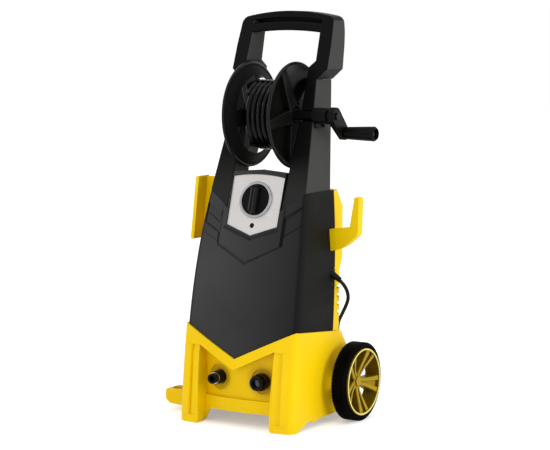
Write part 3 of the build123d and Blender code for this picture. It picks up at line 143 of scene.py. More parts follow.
def buildHandling():
    # broad soft rubs left by hands and storage, as a change in gloss
    group, start, end = newGroup(
        "handlingRub",
        {"Size": 14.0, "Dull": 0.55, "Polished": 0.38},
        {"Roughness": "NodeSocketFloat"},
    )
    place = addNode(group, "ShaderNodeTexCoord", (-900, 200))
    rub = setInputs(addNode(group, "ShaderNodeTexNoise", (-600, 200)), Detail=5.0, Roughness=0.62,
                    Distortion=0.4)
    spread = addNode(group, "ShaderNodeMapRange", (-300, 200))
    setInputs(spread, From_Min=0.3, From_Max=0.72)
    link = group.links.new
    link(place.outputs["Object"], rub.inputs["Vector"])
    link(start.outputs["Size"], rub.inputs["Scale"])
    link(rub.outputs["Fac"], spread.inputs["Value"])
    link(start.outputs["Dull"], spread.inputs["To Min"])
    link(start.outputs["Polished"], spread.inputs["To Max"])
    link(spread.outputs["Result"], end.inputs["Roughness"])
    return group


def buildSideFace():
    # 1 on faces that look sideways, 0 on the rest
    group, start, end = newGroup(
        "sideFace",
        {"From": 0.86, "To": 0.97},
        {"Mask": "NodeSocketFloat"},
    )
    place = addNode(group, "ShaderNodeTexCoord", (-900, 200))
    parts = addNode(group, "ShaderNodeSeparateXYZ", (-700, 200))
    size = addNode(group, "ShaderNodeMath", (-500, 200), operation="ABSOLUTE")
    step = addNode(group, "ShaderNodeMapRange", (-300, 200), interpolation_type="SMOOTHSTEP")
    link = group.links.new
    link(place.outputs["Normal"], parts.inputs[0])
    link(parts.outputs["X"], size.inputs[0])
    link(size.outputs[0], step.inputs["Value"])
    link(start.outputs["From"], step.inputs["From Min"])
    link(start.outputs["To"], step.inputs["From Max"])
    link(step.outputs["Result"], end.inputs["Mask"])
    return group


def buildPaintedLightLine():
    # 1 on the straight line between two points of the front, fading over its width;
    # 0 all over the back; it lays painted shadow lines, painted shade and painted highlights
    group, start, end = newGroup(
        "paintedLightLine",
        {"Start": (0.0, 0.0, 0.0), "End": (0.0, 0.0, 0.1), "Width": 0.003, "Strength": 0.5},
        {"Mask": "NodeSocketFloat"},
    )
    place = addNode(group, "ShaderNodeTexCoord", (-1300, 200))
    flat = addNode(group, "ShaderNodeVectorMath", (-1100, 200), operation="MULTIPLY")
    flat.inputs[1].default_value = (1.0, 0.0, 1.0)
    offset = addNode(group, "ShaderNodeVectorMath", (-900, 200), operation="SUBTRACT")
    reach = addNode(group, "ShaderNodeVectorMath", (-900, -60), operation="SUBTRACT")
    along = addNode(group, "ShaderNodeVectorMath", (-700, 200), operation="DOT_PRODUCT")
    whole = addNode(group, "ShaderNodeVectorMath", (-700, -60), operation="DOT_PRODUCT")
    share = addNode(group, "ShaderNodeMath", (-500, 100), operation="DIVIDE", use_clamp=True)
    foot = addNode(group, "ShaderNodeVectorMath", (-300, -60), operation="SCALE")
    away = addNode(group, "ShaderNodeVectorMath", (-120, 100), operation="DISTANCE")
    half = addNode(group, "ShaderNodeMath", (-120, -160), operation="MULTIPLY")
    half.inputs[1].default_value = 0.3
    fade = addNode(group, "ShaderNodeMapRange", (100, 100), interpolation_type="SMOOTHSTEP")
    setInputs(fade, To_Min=1.0, To_Max=0.0)
    scaled = addNode(group, "ShaderNodeMath", (320, 100), operation="MULTIPLY")
    depth = addNode(group, "ShaderNodeSeparateXYZ", (-900, 400))
    ahead = addNode(group, "ShaderNodeMath", (-700, 400), operation="LESS_THAN")
    ahead.inputs[1].default_value = 0.03
    shown = addNode(group, "ShaderNodeMath", (520, 200), operation="MULTIPLY")
    link = group.links.new
    link(place.outputs["Object"], flat.inputs[0])
    link(flat.outputs[0], offset.inputs[0])
    link(start.outputs["Start"], offset.inputs[1])
    link(start.outputs["End"], reach.inputs[0])
    link(start.outputs["Start"], reach.inputs[1])
    link(offset.outputs[0], along.inputs[0])
    link(reach.outputs[0], along.inputs[1])
    link(reach.outputs[0], whole.inputs[0])
    link(reach.outputs[0], whole.inputs[1])
    link(along.outputs["Value"], share.inputs[0])
    link(whole.outputs["Value"], share.inputs[1])
    link(reach.outputs[0], foot.inputs[0])
    link(share.outputs[0], foot.inputs["Scale"])
    link(offset.outputs[0], away.inputs[0])
    link(foot.outputs[0], away.inputs[1])
    link(away.outputs["Value"], fade.inputs["Value"])
    link(start.outputs["Width"], half.inputs[0])
    link(half.outputs[0], fade.inputs["From Min"])
    link(start.outputs["Width"], fade.inputs["From Max"])
    link(fade.outputs["Result"], scaled.inputs[0])
    link(start.outputs["Strength"], scaled.inputs[1])
    link(place.outputs["Object"], depth.inputs[0])
    link(depth.outputs["Y"], ahead.inputs[0])
    link(scaled.outputs[0], shown.inputs[0])
    link(ahead.outputs[0], shown.inputs[1])
    link(shown.outputs[0], end.inputs["Mask"])
    return group


mouldGrain = buildMouldGrain()
paintedLightLine = buildPaintedLightLine()
floorDust = buildFloorDust()
handlingRub = buildHandling()
sideFace = buildSideFace()
print("shader groups built")


# materials

def startMaterial(name):
    material = bpy.data.materials.new(name)
    material.use_nodes = True
    tree = material.node_tree
    tree.nodes.clear()
    surface = addNode(tree, "ShaderNodeBsdfPrincipled", (300, 0))
    out = addNode(tree, "ShaderNodeOutputMaterial", (600, 0))
    tree.links.new(surface.outputs[0], out.inputs["Surface"])
    return material, tree, surface


def useGroup(tree, group, place, **values):
    node = addNode(tree, "ShaderNodeGroup", place)
    node.node_tree = group
    return setInputs(node, **values)


def mixColour(tree, place, factor, first, second):
    mix = addNode(tree, "ShaderNodeMix", place, data_type="RGBA")
    for socket, value in ((mix.inputs[0], factor), (mix.inputs[6], first), (mix.inputs[7], second)):
        if isinstance(value, bpy.types.NodeSocket):
            tree.links.new(value, socket)
        else:
            socket.default_value = value
    return mix.outputs[2]


def rangeOf(tree, place, value, low, high, fromLow=0.0, fromHigh=1.0):
    node = addNode(tree, "ShaderNodeMapRange", place)
    setInputs(node, From_Min=fromLow, From_Max=fromHigh, To_Min=low, To_Max=high)
    tree.links.new(value, node.inputs["Value"])
    return node.outputs["Result"]


def addBump(tree, surface, height, distance, strength=1.0):
    bump = addNode(tree, "ShaderNodeBump", (60, -300))
    setInputs(bump, Strength=strength, Distance=distance)
    tree.links.new(height, bump.inputs["Height"])
    tree.links.new(bump.outputs[0], surface.inputs["Normal"])


def mouldedPlastic(name, tone, paleTone, dustTone, dull, polished, grainSize, grainDepth,
                   dustReach, dustAmount, shine, paintedSideTone=None, sideFrom=0.86, sideTo=0.97,
                   paintedCornerTone=None, paintedFadeTone=None, paintedLines=(),
                   paintedLineTone=linear(4, 4, 4)):
    # a moulded skin: tone drifts slightly, gloss is rubbed, dust gathers low down, and painted
    # light and shade can lie over it
    material, tree, surface = startMaterial(name)
    grain = useGroup(tree, mouldGrain, (-800, 0), Grain_size=grainSize, Drift_size=6.0)
    rub = useGroup(tree, handlingRub, (-800, -260), Size=11.0, Dull=dull, Polished=polished)
    dust = useGroup(tree, floorDust, (-800, 260), Reach=dustReach, Amount=dustAmount)
    drift = rangeOf(tree, (-560, 60), grain.outputs["Drift"], 0.0, 1.0, 0.35, 0.65)
    colour = mixColour(tree, (-340, 160), drift, tone, paleTone)
    # painted light and shade: the colour blends to another tone along one axis
    if paintedFadeTone:
        place = addNode(tree, "ShaderNodeTexCoord", (-900, 600))
        parts = addNode(tree, "ShaderNodeSeparateXYZ", (-740, 600))
        tree.links.new(place.outputs["Object"], parts.inputs[0])
        otherTone, axis, fadeFrom, fadeTo = paintedFadeTone
        other = rangeOf(tree, (-560, 600), parts.outputs[axis], 1.0, 0.0, fadeFrom, fadeTo)
        colour = mixColour(tree, (-300, 400), other, colour, otherTone)
    # painted lines of shade and highlight laid over the colour
    for index, (x0, z0, x1, z1, width, strength) in enumerate(paintedLines):
        line = useGroup(tree, paintedLightLine, (-800, 800 + 180 * index), Start=(x0, 0.0, z0),
                        End=(x1, 0.0, z1), Width=width, Strength=strength)
        colour = mixColour(tree, (-500, 800 + 180 * index), line.outputs["Mask"], colour,
                           paintedLineTone)
    # painted shade on faces that turn partly sideways, as on rounded corners
    if paintedCornerTone:
        corner = useGroup(tree, sideFace, (-560, 520), From=0.12, To=0.5)
        colour = mixColour(tree, (-240, 460), corner.outputs["Mask"], colour, paintedCornerTone)
    # painted light and shade: faces that look sideways take another tone, a painted sheen where
    # lighter and painted shade where darker
    if paintedSideTone:
        side = useGroup(tree, sideFace, (-560, 420), From=sideFrom, To=sideTo)
        colour = mixColour(tree, (-160, 260), side.outputs["Mask"], colour, paintedSideTone)
    colour = mixColour(tree, (60, 200), dust.outputs["Mask"], colour, dustTone)
    tree.links.new(colour, surface.inputs["Base Color"])
    tree.links.new(rub.outputs["Roughness"], surface.inputs["Roughness"])
    surface.inputs["Specular IOR Level"].default_value = shine
    addBump(tree, surface, grain.outputs["Height"], grainDepth)
    return material


# start x, start z, end x, end z, width, strength of each painted shadow line on the front, laid
# along its moulded steps and under the plate
coverShadowLines = (
    (0.0786, 0.4448, 0.1206, 0.4701, 0.0026, 0.85),
    (0.0830, 0.4068, 0.1264, 0.4321, 0.0024, 0.75),
    (0.0800, 0.4437, 0.0797, 0.3860, 0.0042, 0.85),
    (-0.1123, 0.4458, -0.0841, 0.4278, 0.0022, 0.6),
    (-0.1178, 0.4243, -0.0886, 0.4104, 0.0020, 0.5),
    (-0.1147, 0.4023, -0.0853, 0.3910, 0.0020, 0.4),
    (-0.0785, 0.4517, -0.0780, 0.3800, 0.0034, 0.8),
    (-0.0730, 0.3787, -0.0040, 0.3440, 0.0040, 0.5),
    (-0.0040, 0.3455, 0.0273, 0.3592, 0.0032, 0.4),
    (0.0273, 0.3592, 0.0740, 0.3820, 0.0028, 0.25),
    (-0.0660, 0.4185, 0.0000, 0.3970, 0.0060, 0.6),
    (0.0000, 0.3970, 0.0633, 0.4175, 0.0055, 0.5),
)
# the same for the painted shade round the two connectors
bossShades = (
    (-0.0541, 0.1000, -0.0539, 0.1000, 0.036, 0.9),
    (0.0539, 0.1000, 0.0541, 0.1000, 0.043, 0.9),
)
# painted shade: side faces, corners and the right of the front are darker, and painted shadow lines
# run along the moulded steps
charcoalSkin = mouldedPlastic(
    "charcoalSkin", linear(52, 52, 52), linear(60, 60, 60), linear(104, 100, 92),
    dull=0.66, polished=0.5, grainSize=1100.0, grainDepth=0.00007, dustReach=0.25, dustAmount=0.03,
    shine=0.1, paintedSideTone=linear(12, 13, 11), sideFrom=0.78, sideTo=0.97,
    paintedCornerTone=linear(14, 14, 14),
    paintedFadeTone=(linear(28, 28, 28), "X", 0.13, -0.06), paintedLines=coverShadowLines)
# painted light: side faces are lighter as a painted sheen, and the fronts grow lighter towards the
# arms' lower ends
armSkin = mouldedPlastic(
    "armSkin", linear(7, 7, 7), linear(11, 11, 10), linear(110, 106, 98),
    dull=0.5, polished=0.36, grainSize=1300.0, grainDepth=0.00005, dustReach=0.2, dustAmount=0.0,
    shine=0.06, paintedSideTone=linear(58, 59, 56), paintedFadeTone=(linear(36, 36, 35), "Z", 0.5, 0.575))
yellowSkin = mouldedPlastic(
    "yellowSkin", linear(231, 191, 0), linear(237, 198, 0), linear(200, 168, 80),
    dull=0.46, polished=0.34, grainSize=700.0, grainDepth=0.00003, dustReach=0.09, dustAmount=0.04,
    shine=0.12)
# the base carries painted shade round its two connectors
baseSkin = mouldedPlastic(
    "baseSkin", linear(231, 191, 0), linear(237, 198, 0), linear(200, 168, 80),
    dull=0.46, polished=0.34, grainSize=700.0, grainDepth=0.00003, dustReach=0.09, dustAmount=0.04,
    shine=0.12, paintedLineTone=linear(150, 112, 2), paintedLines=bossShades)
# painted light and shade: faces looking along the axle are lighter, the barrel and other faces stay
# darker
wheelGold = mouldedPlastic(
    "wheelGold", linear(92, 73, 3), linear(102, 81, 4), linear(120, 104, 70),
    dull=0.38, polished=0.24, grainSize=900.0, grainDepth=0.00002, dustReach=0.1, dustAmount=0.0,
    shine=0.12, paintedSideTone=linear(164, 134, 12), sideFrom=0.35, sideTo=0.9)
# painted highlight: a pale ring on the rim's outer lip
rimEdgeHighlight = mouldedPlastic(
    "rimEdgeHighlight", linear(222, 204, 98), linear(232, 214, 112), linear(120, 104, 70),
    dull=0.36, polished=0.26, grainSize=900.0, grainDepth=0.00001, dustReach=0.02, dustAmount=0.05,
    shine=0.4)
reelGloss = mouldedPlastic(
    "reelGloss", linear(9, 10, 8), linear(14, 15, 13), linear(104, 100, 92),
    dull=0.36, polished=0.24, grainSize=1200.0, grainDepth=0.00002, dustReach=0.1, dustAmount=0.0,
    shine=0.18)
reelMatt = mouldedPlastic(
    "reelMatt", linear(9, 9, 9), linear(14, 14, 13), linear(104, 100, 92),
    dull=0.6, polished=0.46, grainSize=1200.0, grainDepth=0.00002, dustReach=0.1, dustAmount=0.0,
    shine=0.06)
blackMoulding = mouldedPlastic(
    "blackMoulding", linear(6, 6, 6), linear(12, 12, 11), linear(104, 100, 92),
    dull=0.42, polished=0.26, grainSize=1200.0, grainDepth=0.00004, dustReach=0.1, dustAmount=0.04,
    shine=0.1)
# painted highlight: pale lines along the knob's bar
knobSkin = mouldedPlastic(
    "knobSkin", linear(4, 4, 4), linear(8, 8, 7), linear(104, 100, 92),
    dull=0.46, polished=0.3, grainSize=1200.0, grainDepth=0.00004, dustReach=0.1, dustAmount=0.0,
    shine=0.08, paintedLineTone=linear(64, 64, 62),
    paintedLines=((-0.0046, 0.5040, -0.0046, 0.4520, 0.0042, 0.9),
           (0.0046, 0.5040, 0.0046, 0.4520, 0.0024, 0.35)))
greyMoulding = mouldedPlastic(
    "greyMoulding", linear(118, 118, 120), linear(128, 128, 130), linear(150, 146, 138),
    dull=0.5, polished=0.4, grainSize=1200.0, grainDepth=0.00003, dustReach=0.1, dustAmount=0.0,
    shine=0.3)


def buildPlateMetal():
    # satin silver with a fine sideways brushing
    material, tree, surface = startMaterial("satinPlate")
    place = addNode(tree, "ShaderNodeTexCoord", (-900, 0))
    stretch = addNode(tree, "ShaderNodeMapping", (-700, 0))
    stretch.inputs["Scale"].default_value = (18.0, 900.0, 900.0)
    brush = setInputs(addNode(tree, "ShaderNodeTexNoise", (-500, 0)), Scale=1.0, Detail=4.0,
                      Roughness=0.7)
    tree.links.new(place.outputs["Object"], stretch.inputs["Vector"])
    tree.links.new(stretch.outputs[0], brush.inputs["Vector"])
    colour = mixColour(tree, (-200, 120), brush.outputs["Fac"], linear(184, 180, 178),
                       linear(210, 206, 204))
    tree.links.new(colour, surface.inputs["Base Color"])
    rough = rangeOf(tree, (-200, -120), brush.outputs["Fac"], 0.34, 0.5)
    tree.links.new(rough, surface.inputs["Roughness"])
    surface.inputs["Metallic"].default_value = 0.55
    addBump(tree, surface, brush.outputs["Fac"], 0.00002)
    return material


def buildBrightMetal(name, tone, roughLow, roughHigh, smearSize):
    # plated metal with faint smears in its gloss
    material, tree, surface = startMaterial(name)
    place = addNode(tree, "ShaderNodeTexCoord", (-900, 0))
    smear = setInputs(addNode(tree, "ShaderNodeTexNoise", (-600, 0)), Scale=smearSize, Detail=5.0)
    tree.links.new(place.outputs["Object"], smear.inputs["Vector"])
    rough = rangeOf(tree, (-300, -100), smear.outputs["Fac"], roughLow, roughHigh, 0.3, 0.7)
    tree.links.new(rough, surface.inputs["Roughness"])
    darker = tuple(value * 0.86 for value in tone[:3]) + (1.0,)
    tree.links.new(mixColour(tree, (-300, 120), smear.outputs["Fac"], darker, tone),
                   surface.inputs["Base Color"])
    surface.inputs["Metallic"].default_value = 1.0
    return material


def buildRubber(name, tone, worn, rough, grainSize, depth, shine=0.12, dusty=0.03):
    material, tree, surface = startMaterial(name)
    grain = useGroup(tree, mouldGrain, (-700, 0), Grain_size=grainSize, Drift_size=22.0)
    dust = useGroup(tree, floorDust, (-700, 260), Reach=0.17, Amount=dusty)
    drift = rangeOf(tree, (-460, 60), grain.outputs["Drift"], 0.0, 1.0, 0.35, 0.7)
    colour = mixColour(tree, (-240, 160), drift, tone, worn)
    colour = mixColour(tree, (-40, 200), dust.outputs["Mask"], colour, linear(96, 92, 86))
    tree.links.new(colour, surface.inputs["Base Color"])
    gloss = rangeOf(tree, (-240, -100), grain.outputs["Drift"], rough, rough - 0.14, 0.3, 0.7)
    tree.links.new(gloss, surface.inputs["Roughness"])
    surface.inputs["Specular IOR Level"].default_value = shine
    addBump(tree, surface, grain.outputs["Height"], depth)
    return material


satinPlate = buildPlateMetal()
polishedBezel = buildBrightMetal("polishedBezel", linear(168, 168, 170), 0.24, 0.36, 90.0)
zincSteel = buildBrightMetal("zincSteel", linear(178, 178, 180), 0.26, 0.42, 60.0)
platedRing = buildBrightMetal("platedRing", linear(205, 205, 205), 0.14, 0.28, 120.0)
darkSteel = buildBrightMetal("darkSteel", linear(46, 46, 48), 0.34, 0.5, 80.0)
castGrey = buildBrightMetal("castGrey", linear(120, 120, 122), 0.5, 0.7, 160.0)
pumpAlloy = buildBrightMetal("pumpAlloy", linear(168, 168, 170), 0.4, 0.55, 120.0)
hoseRubber = buildRubber("hoseRubber", linear(3, 3, 3), linear(6, 6, 6), 0.22, 1500.0, 0.000004,
                         shine=0.16)
tyreRubber = buildRubber("tyreRubber", linear(2, 2, 2), linear(5, 5, 5), 0.6, 1300.0, 0.00006,
                         shine=0.02, dusty=0.004)
cordRubber = buildRubber("cordRubber", linear(16, 15, 17), linear(22, 21, 22), 0.46, 1800.0,
                         0.00002)
print("materials built")


# every carried-over solid gets its material

solidFinish = {
    charcoalSkin: ("front_cover",),
    armSkin: ("arm_left", "arm_right", "upper_handle"),
    yellowSkin: ("rear_cover", "cord_hook", "lance_holder"),
    baseSkin: ("base",),
    wheelGold: ("rim_left", "rim_right", "hub_cap_left", "hub_cap_right"),
    knobSkin: ("switch_knob",),
    blackMoulding: ("pilot_cap", "switch_body", "reel_flange_left",
                    "reel_flange_right", "reel_drum", "reel_bearing_left", "reel_bearing_right",
                    "crank_arm", "crank_grip", "outlet_connector", "inlet_connector", "fan_cover",
                    "capacitor", "cord_boot", "reel_shaft", "power_plug", "cord_gland"),
    greyMoulding: ("inlet_filter",),
    satinPlate: ("control_plate",),
    polishedBezel: ("knob_bezel",),
    zincSteel: ("axle", "grip_pin", "arm_screws", "cover_screws"),
    darkSteel: ("crank_nut", "bearing_bolts"),
    platedRing: ("outlet_ring",),
    castGrey: ("motor",),
    pumpAlloy: ("pump_body", "pump_manifold"),
    hoseRubber: ("hose_winding",),
    tyreRubber: ("tyre_left", "tyre_right"),
    cordRubber: ("power_cord", "cord_tail", "cord_coil"),
}
for material, names in solidFinish.items():
    for name in names:
        data = nodes[name].data
        data.materials.clear()
        data.materials.append(material)
print("solids dressed")


# the hose on its reel

hoseValues = {"diameter": 0.0125, "turns": 6, "layers": 3, "drumRadius": 0.038, "sides": 14,
              "stepsPerTurn": 72, "layerTurn": 115}


def buildHoseTree():
    # a stack of spirals, one for each layer, swept with the hose's round section
    tree = bpy.data.node_groups.new("hoseLayer", "GeometryNodeTree")
    face = tree.interface
    face.new_socket("Geometry", in_out="OUTPUT", socket_type="NodeSocketGeometry")
    for name, kind, value in (("Turns", "NodeSocketFloat", 6.0),
                              ("Radius", "NodeSocketFloat", 0.05),
                              ("Width", "NodeSocketFloat", 0.07),
                              ("Hose radius", "NodeSocketFloat", 0.006),
                              ("Steps", "NodeSocketInt", 400), ("Sides", "NodeSocketInt", 14)):
        face.new_socket(name, in_out="INPUT", socket_type=kind).default_value = value
    face.new_socket("Back", in_out="INPUT", socket_type="NodeSocketBool")
    face.new_socket("Rubber", in_out="INPUT", socket_type="NodeSocketMaterial")
    start = addNode(tree, "NodeGroupInput", (-900, 0))
    end = addNode(tree, "NodeGroupOutput", (700, 0))
    spiral = addNode(tree, "GeometryNodeCurveSpiral", (-600, 100))
    section = addNode(tree, "GeometryNodeCurvePrimitiveCircle", (-600, -200))
    sweep = addNode(tree, "GeometryNodeCurveToMesh", (-300, 0))
    sweep.inputs["Fill Caps"].default_value = True
    smooth = addNode(tree, "GeometryNodeSetShadeSmooth", (-100, 0))
    whole = addNode(tree, "GeometryNodeRealizeInstances", (100, 0))
    finish = addNode(tree, "GeometryNodeSetMaterial", (300, 0))
    link = tree.links.new
    link(start.outputs["Turns"], spiral.inputs["Rotations"])
    link(start.outputs["Radius"], spiral.inputs["Start Radius"])
    link(start.outputs["Radius"], spiral.inputs["End Radius"])
    link(start.outputs["Width"], spiral.inputs["Height"])
    link(start.outputs["Steps"], spiral.inputs["Resolution"])
    link(start.outputs["Back"], spiral.inputs["Reverse"])
    link(start.outputs["Hose radius"], section.inputs["Radius"])
    link(start.outputs["Sides"], section.inputs["Resolution"])
    link(spiral.outputs[0], sweep.inputs["Curve"])
    link(section.outputs[0], sweep.inputs["Profile Curve"])
    link(sweep.outputs[0], smooth.inputs["Geometry"])
    link(smooth.outputs[0], whole.inputs["Geometry"])
    link(whole.outputs[0], finish.inputs["Geometry"])
    link(start.outputs["Rubber"], finish.inputs["Material"])
    link(finish.outputs[0], end.inputs["Geometry"])
    return tree


def growMesh(name, tree, values):
    # runs a geometry tree once and hands back its mesh
    holder = bpy.data.objects.new(name, bpy.data.meshes.new(name))
    bpy.context.collection.objects.link(holder)
    modifier = holder.modifiers.new("grow", "NODES")
    modifier.node_group = tree
    for item in tree.interface.items_tree:
        if item.in_out == "INPUT" and item.name in values:
            modifier[item.identifier] = values[item.name]
    graph = bpy.context.evaluated_depsgraph_get()
    mesh = bpy.data.meshes.new_from_object(holder.evaluated_get(graph))
    bpy.data.objects.remove(holder)
    return mesh


def joinMeshes(name, meshes, material):
    form = bmesh.new()
    for mesh, place in meshes:
        mesh.transform(place)
        form.from_mesh(mesh)
        bpy.data.meshes.remove(mesh)
    whole = bpy.data.meshes.new(name)
    form.to_mesh(whole)
    form.free()
    whole.materials.clear()
    whole.materials.append(material)
    for face in whole.polygons:
        face.use_smooth = True
        face.material_index = 0
    piece = bpy.data.objects.new(name, whole)
    bpy.context.collection.objects.link(piece)
    return piece


def windHose():
    low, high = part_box("hose_winding")
    middle = (Vector(low) + Vector(high)) / 2
    tree = buildHoseTree()
    diameter = hoseValues["diameter"]
    turns = hoseValues["turns"]
    width = diameter * (turns - 1)
    meshes = []
    for layer in range(hoseValues["layers"]):
        radius = hoseValues["drumRadius"] + diameter * (layer + 0.5)
        mesh = growMesh("hoseLayer", tree, {
            "Turns": float(turns - 1), "Radius": radius, "Width": width,
            "Hose radius": diameter / 2, "Steps": hoseValues["stepsPerTurn"],
            "Sides": hoseValues["sides"], "Back": layer % 2 == 1, "Rubber": hoseRubber})
        layerTurn = math.radians(hoseValues["layerTurn"] * layer)
        turn = Matrix.Rotation(math.radians(90), 4, "Y") @ Matrix.Rotation(layerTurn, 4, "Z")
        place = Matrix.Translation(middle) @ turn @ Matrix.Translation((0, 0, -width / 2))
        meshes.append((mesh, place))
    hose = joinMeshes("woundHose", meshes, hoseRubber)
    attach(hose, "reel")
    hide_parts("hose_winding")


windHose()
print("hose wound")


# wheels: a ribbed tyre on a moulded rim with five forked spokes

wheelValues = {
    "centre": (0.064, 0.085), "inner": 0.166, "lip": 0.203, "barrelOuter": 0.0724,
    "barrelInner": 0.0682, "hubFace": 0.186, "hubRadius": 0.0145, "spokes": 5, "spokeTurn": -13.0,
    # radius, half width, half of the gap between the two ridges, height, depth of the gap
    "spokeRows": ((0.010, 0.0082, 0.0, 0.1853, 0.0), (0.022, 0.0088, 0.0008, 0.1866, 0.0030),
                  (0.036, 0.0110, 0.0020, 0.1902, 0.0055), (0.052, 0.0148, 0.0044, 0.1952, 0.0070),
                  (0.0695, 0.0200, 0.0072, 0.2002, 0.0070)),
    "spokeBack": 0.1705, "tyreRadius": 0.0845, "tyreWidth": 0.033, "steps": 96,
    "bore": 0.0066, "axleRadius": 0.006, "goldSharp": 28.0,
}
treadValues = {"Lugs": 78, "Radius": 0.0841, "Lug width": 0.029, "Lug length": 0.0050,
               "Lug height": 0.0016, "Slant": 0.12}


def spinRing(form, profile, centre, steps, side=1.0):
    # a closed outline of (x, radius) pairs turned about the sideways axis
    rings = []
    for index in range(steps):
        turn = 2 * math.pi * index / steps
        rings.append([form.verts.new((side * x, centre[0] + r * math.cos(turn),
                                      centre[1] + r * math.sin(turn))) for x, r in profile])
    for index in range(steps):
        first = rings[index]
        second = rings[(index + 1) % steps]
        for corner in range(len(profile)):
            after = (corner + 1) % len(profile)
            form.faces.new((first[corner], first[after], second[after], second[corner]))


def aroundAxis(centre, turn, side, radius, t, x):
    # a point at a radius and an offset t across it, on a turned spoke
    return (side * x, centre[0] + radius * math.cos(turn) - t * math.sin(turn),
            centre[1] + radius * math.sin(turn) + t * math.cos(turn))


def loftRings(form, rings):
    # closed outlines joined one to the next, both ends filled
    rows = [[form.verts.new(place) for place in ring] for ring in rings]
    for first, second in zip(rows, rows[1:]):
        for corner in range(len(first)):
            after = (corner + 1) % len(first)
            form.faces.new((first[corner], first[after], second[after], second[corner]))
    form.faces.new(rows[0])
    form.faces.new(rows[-1])


def finishForm(name, form, material, sharpAngle=35.0):
    bmesh.ops.recalc_face_normals(form, faces=form.faces)
    mesh = bpy.data.meshes.new(name)
    form.to_mesh(mesh)
    form.free()
    mesh.materials.append(material)
    mesh.shade_smooth()
    mesh.set_sharp_from_angle(angle=math.radians(sharpAngle))
    piece = bpy.data.objects.new(name, mesh)
    bpy.context.collection.objects.link(piece)
    return piece


def buildRim(name, side):
    values = wheelValues
    form = bmesh.new()
    inner, lip = values["inner"], values["lip"]
    outer, bore = values["barrelOuter"], values["barrelInner"]
    spinRing(form, ((inner, outer - 0.001), (inner + 0.001, outer), (lip - 0.0022, outer),
                    (lip - 0.0008, outer - 0.0004), (lip, outer - 0.0014), (lip, bore + 0.0012),
                    (lip - 0.0014, bore), (inner + 0.016, bore - 0.0014),
                    (inner + 0.001, bore - 0.0002), (inner, bore + 0.0008)),
             values["centre"], values["steps"], side)
    hub = values["hubRadius"]
    face = values["hubFace"]
    hole = values["bore"]
    spinRing(form, ((inner + 0.002, hole), (inner + 0.002, hub), (face - 0.0015, hub),
                    (face, hub - 0.0015), (face, hole)), values["centre"], 48, side)
    for spoke in range(values["spokes"]):
        turn = math.radians(values["spokeTurn"] + 360 / values["spokes"] * spoke)
        rings = []
        for radius, half, gap, height, groove in values["spokeRows"]:
            back = values["spokeBack"]
            outline = ((-half, back), (-half, height - 0.0016), (-half + 0.0014, height),
                       (-gap - 0.0012, height), (-gap, height - groove), (gap, height - groove),
                       (gap + 0.0012, height), (half - 0.0014, height), (half, height - 0.0016),
                       (half, back))
            rings.append([aroundAxis(values["centre"], turn, side, radius, t, x)
                          for t, x in outline])
        loftRings(form, rings)
    rim = finishForm(name, form, wheelGold, values["goldSharp"])
    rim.data.materials.append(rimEdgeHighlight)
    # the outer face of the lip takes the painted highlight
    for polygon in rim.data.polygons:
        if abs(polygon.center.x) > lip - 0.001:
            polygon.material_index = 1
    return rim


def buildHubCap(name, side):
    form = bmesh.new()
    face = wheelValues["hubFace"] + 0.0003
    profile = ((face, 0.0005), (face, 0.0118), (face + 0.0020, 0.0112), (face + 0.0030, 0.0098),
               (face + 0.0024, 0.0082), (face + 0.0024, 0.0005))
    spinRing(form, profile, wheelValues["centre"], 40, side)
    return finishForm(name, form, wheelGold, wheelValues["goldSharp"])


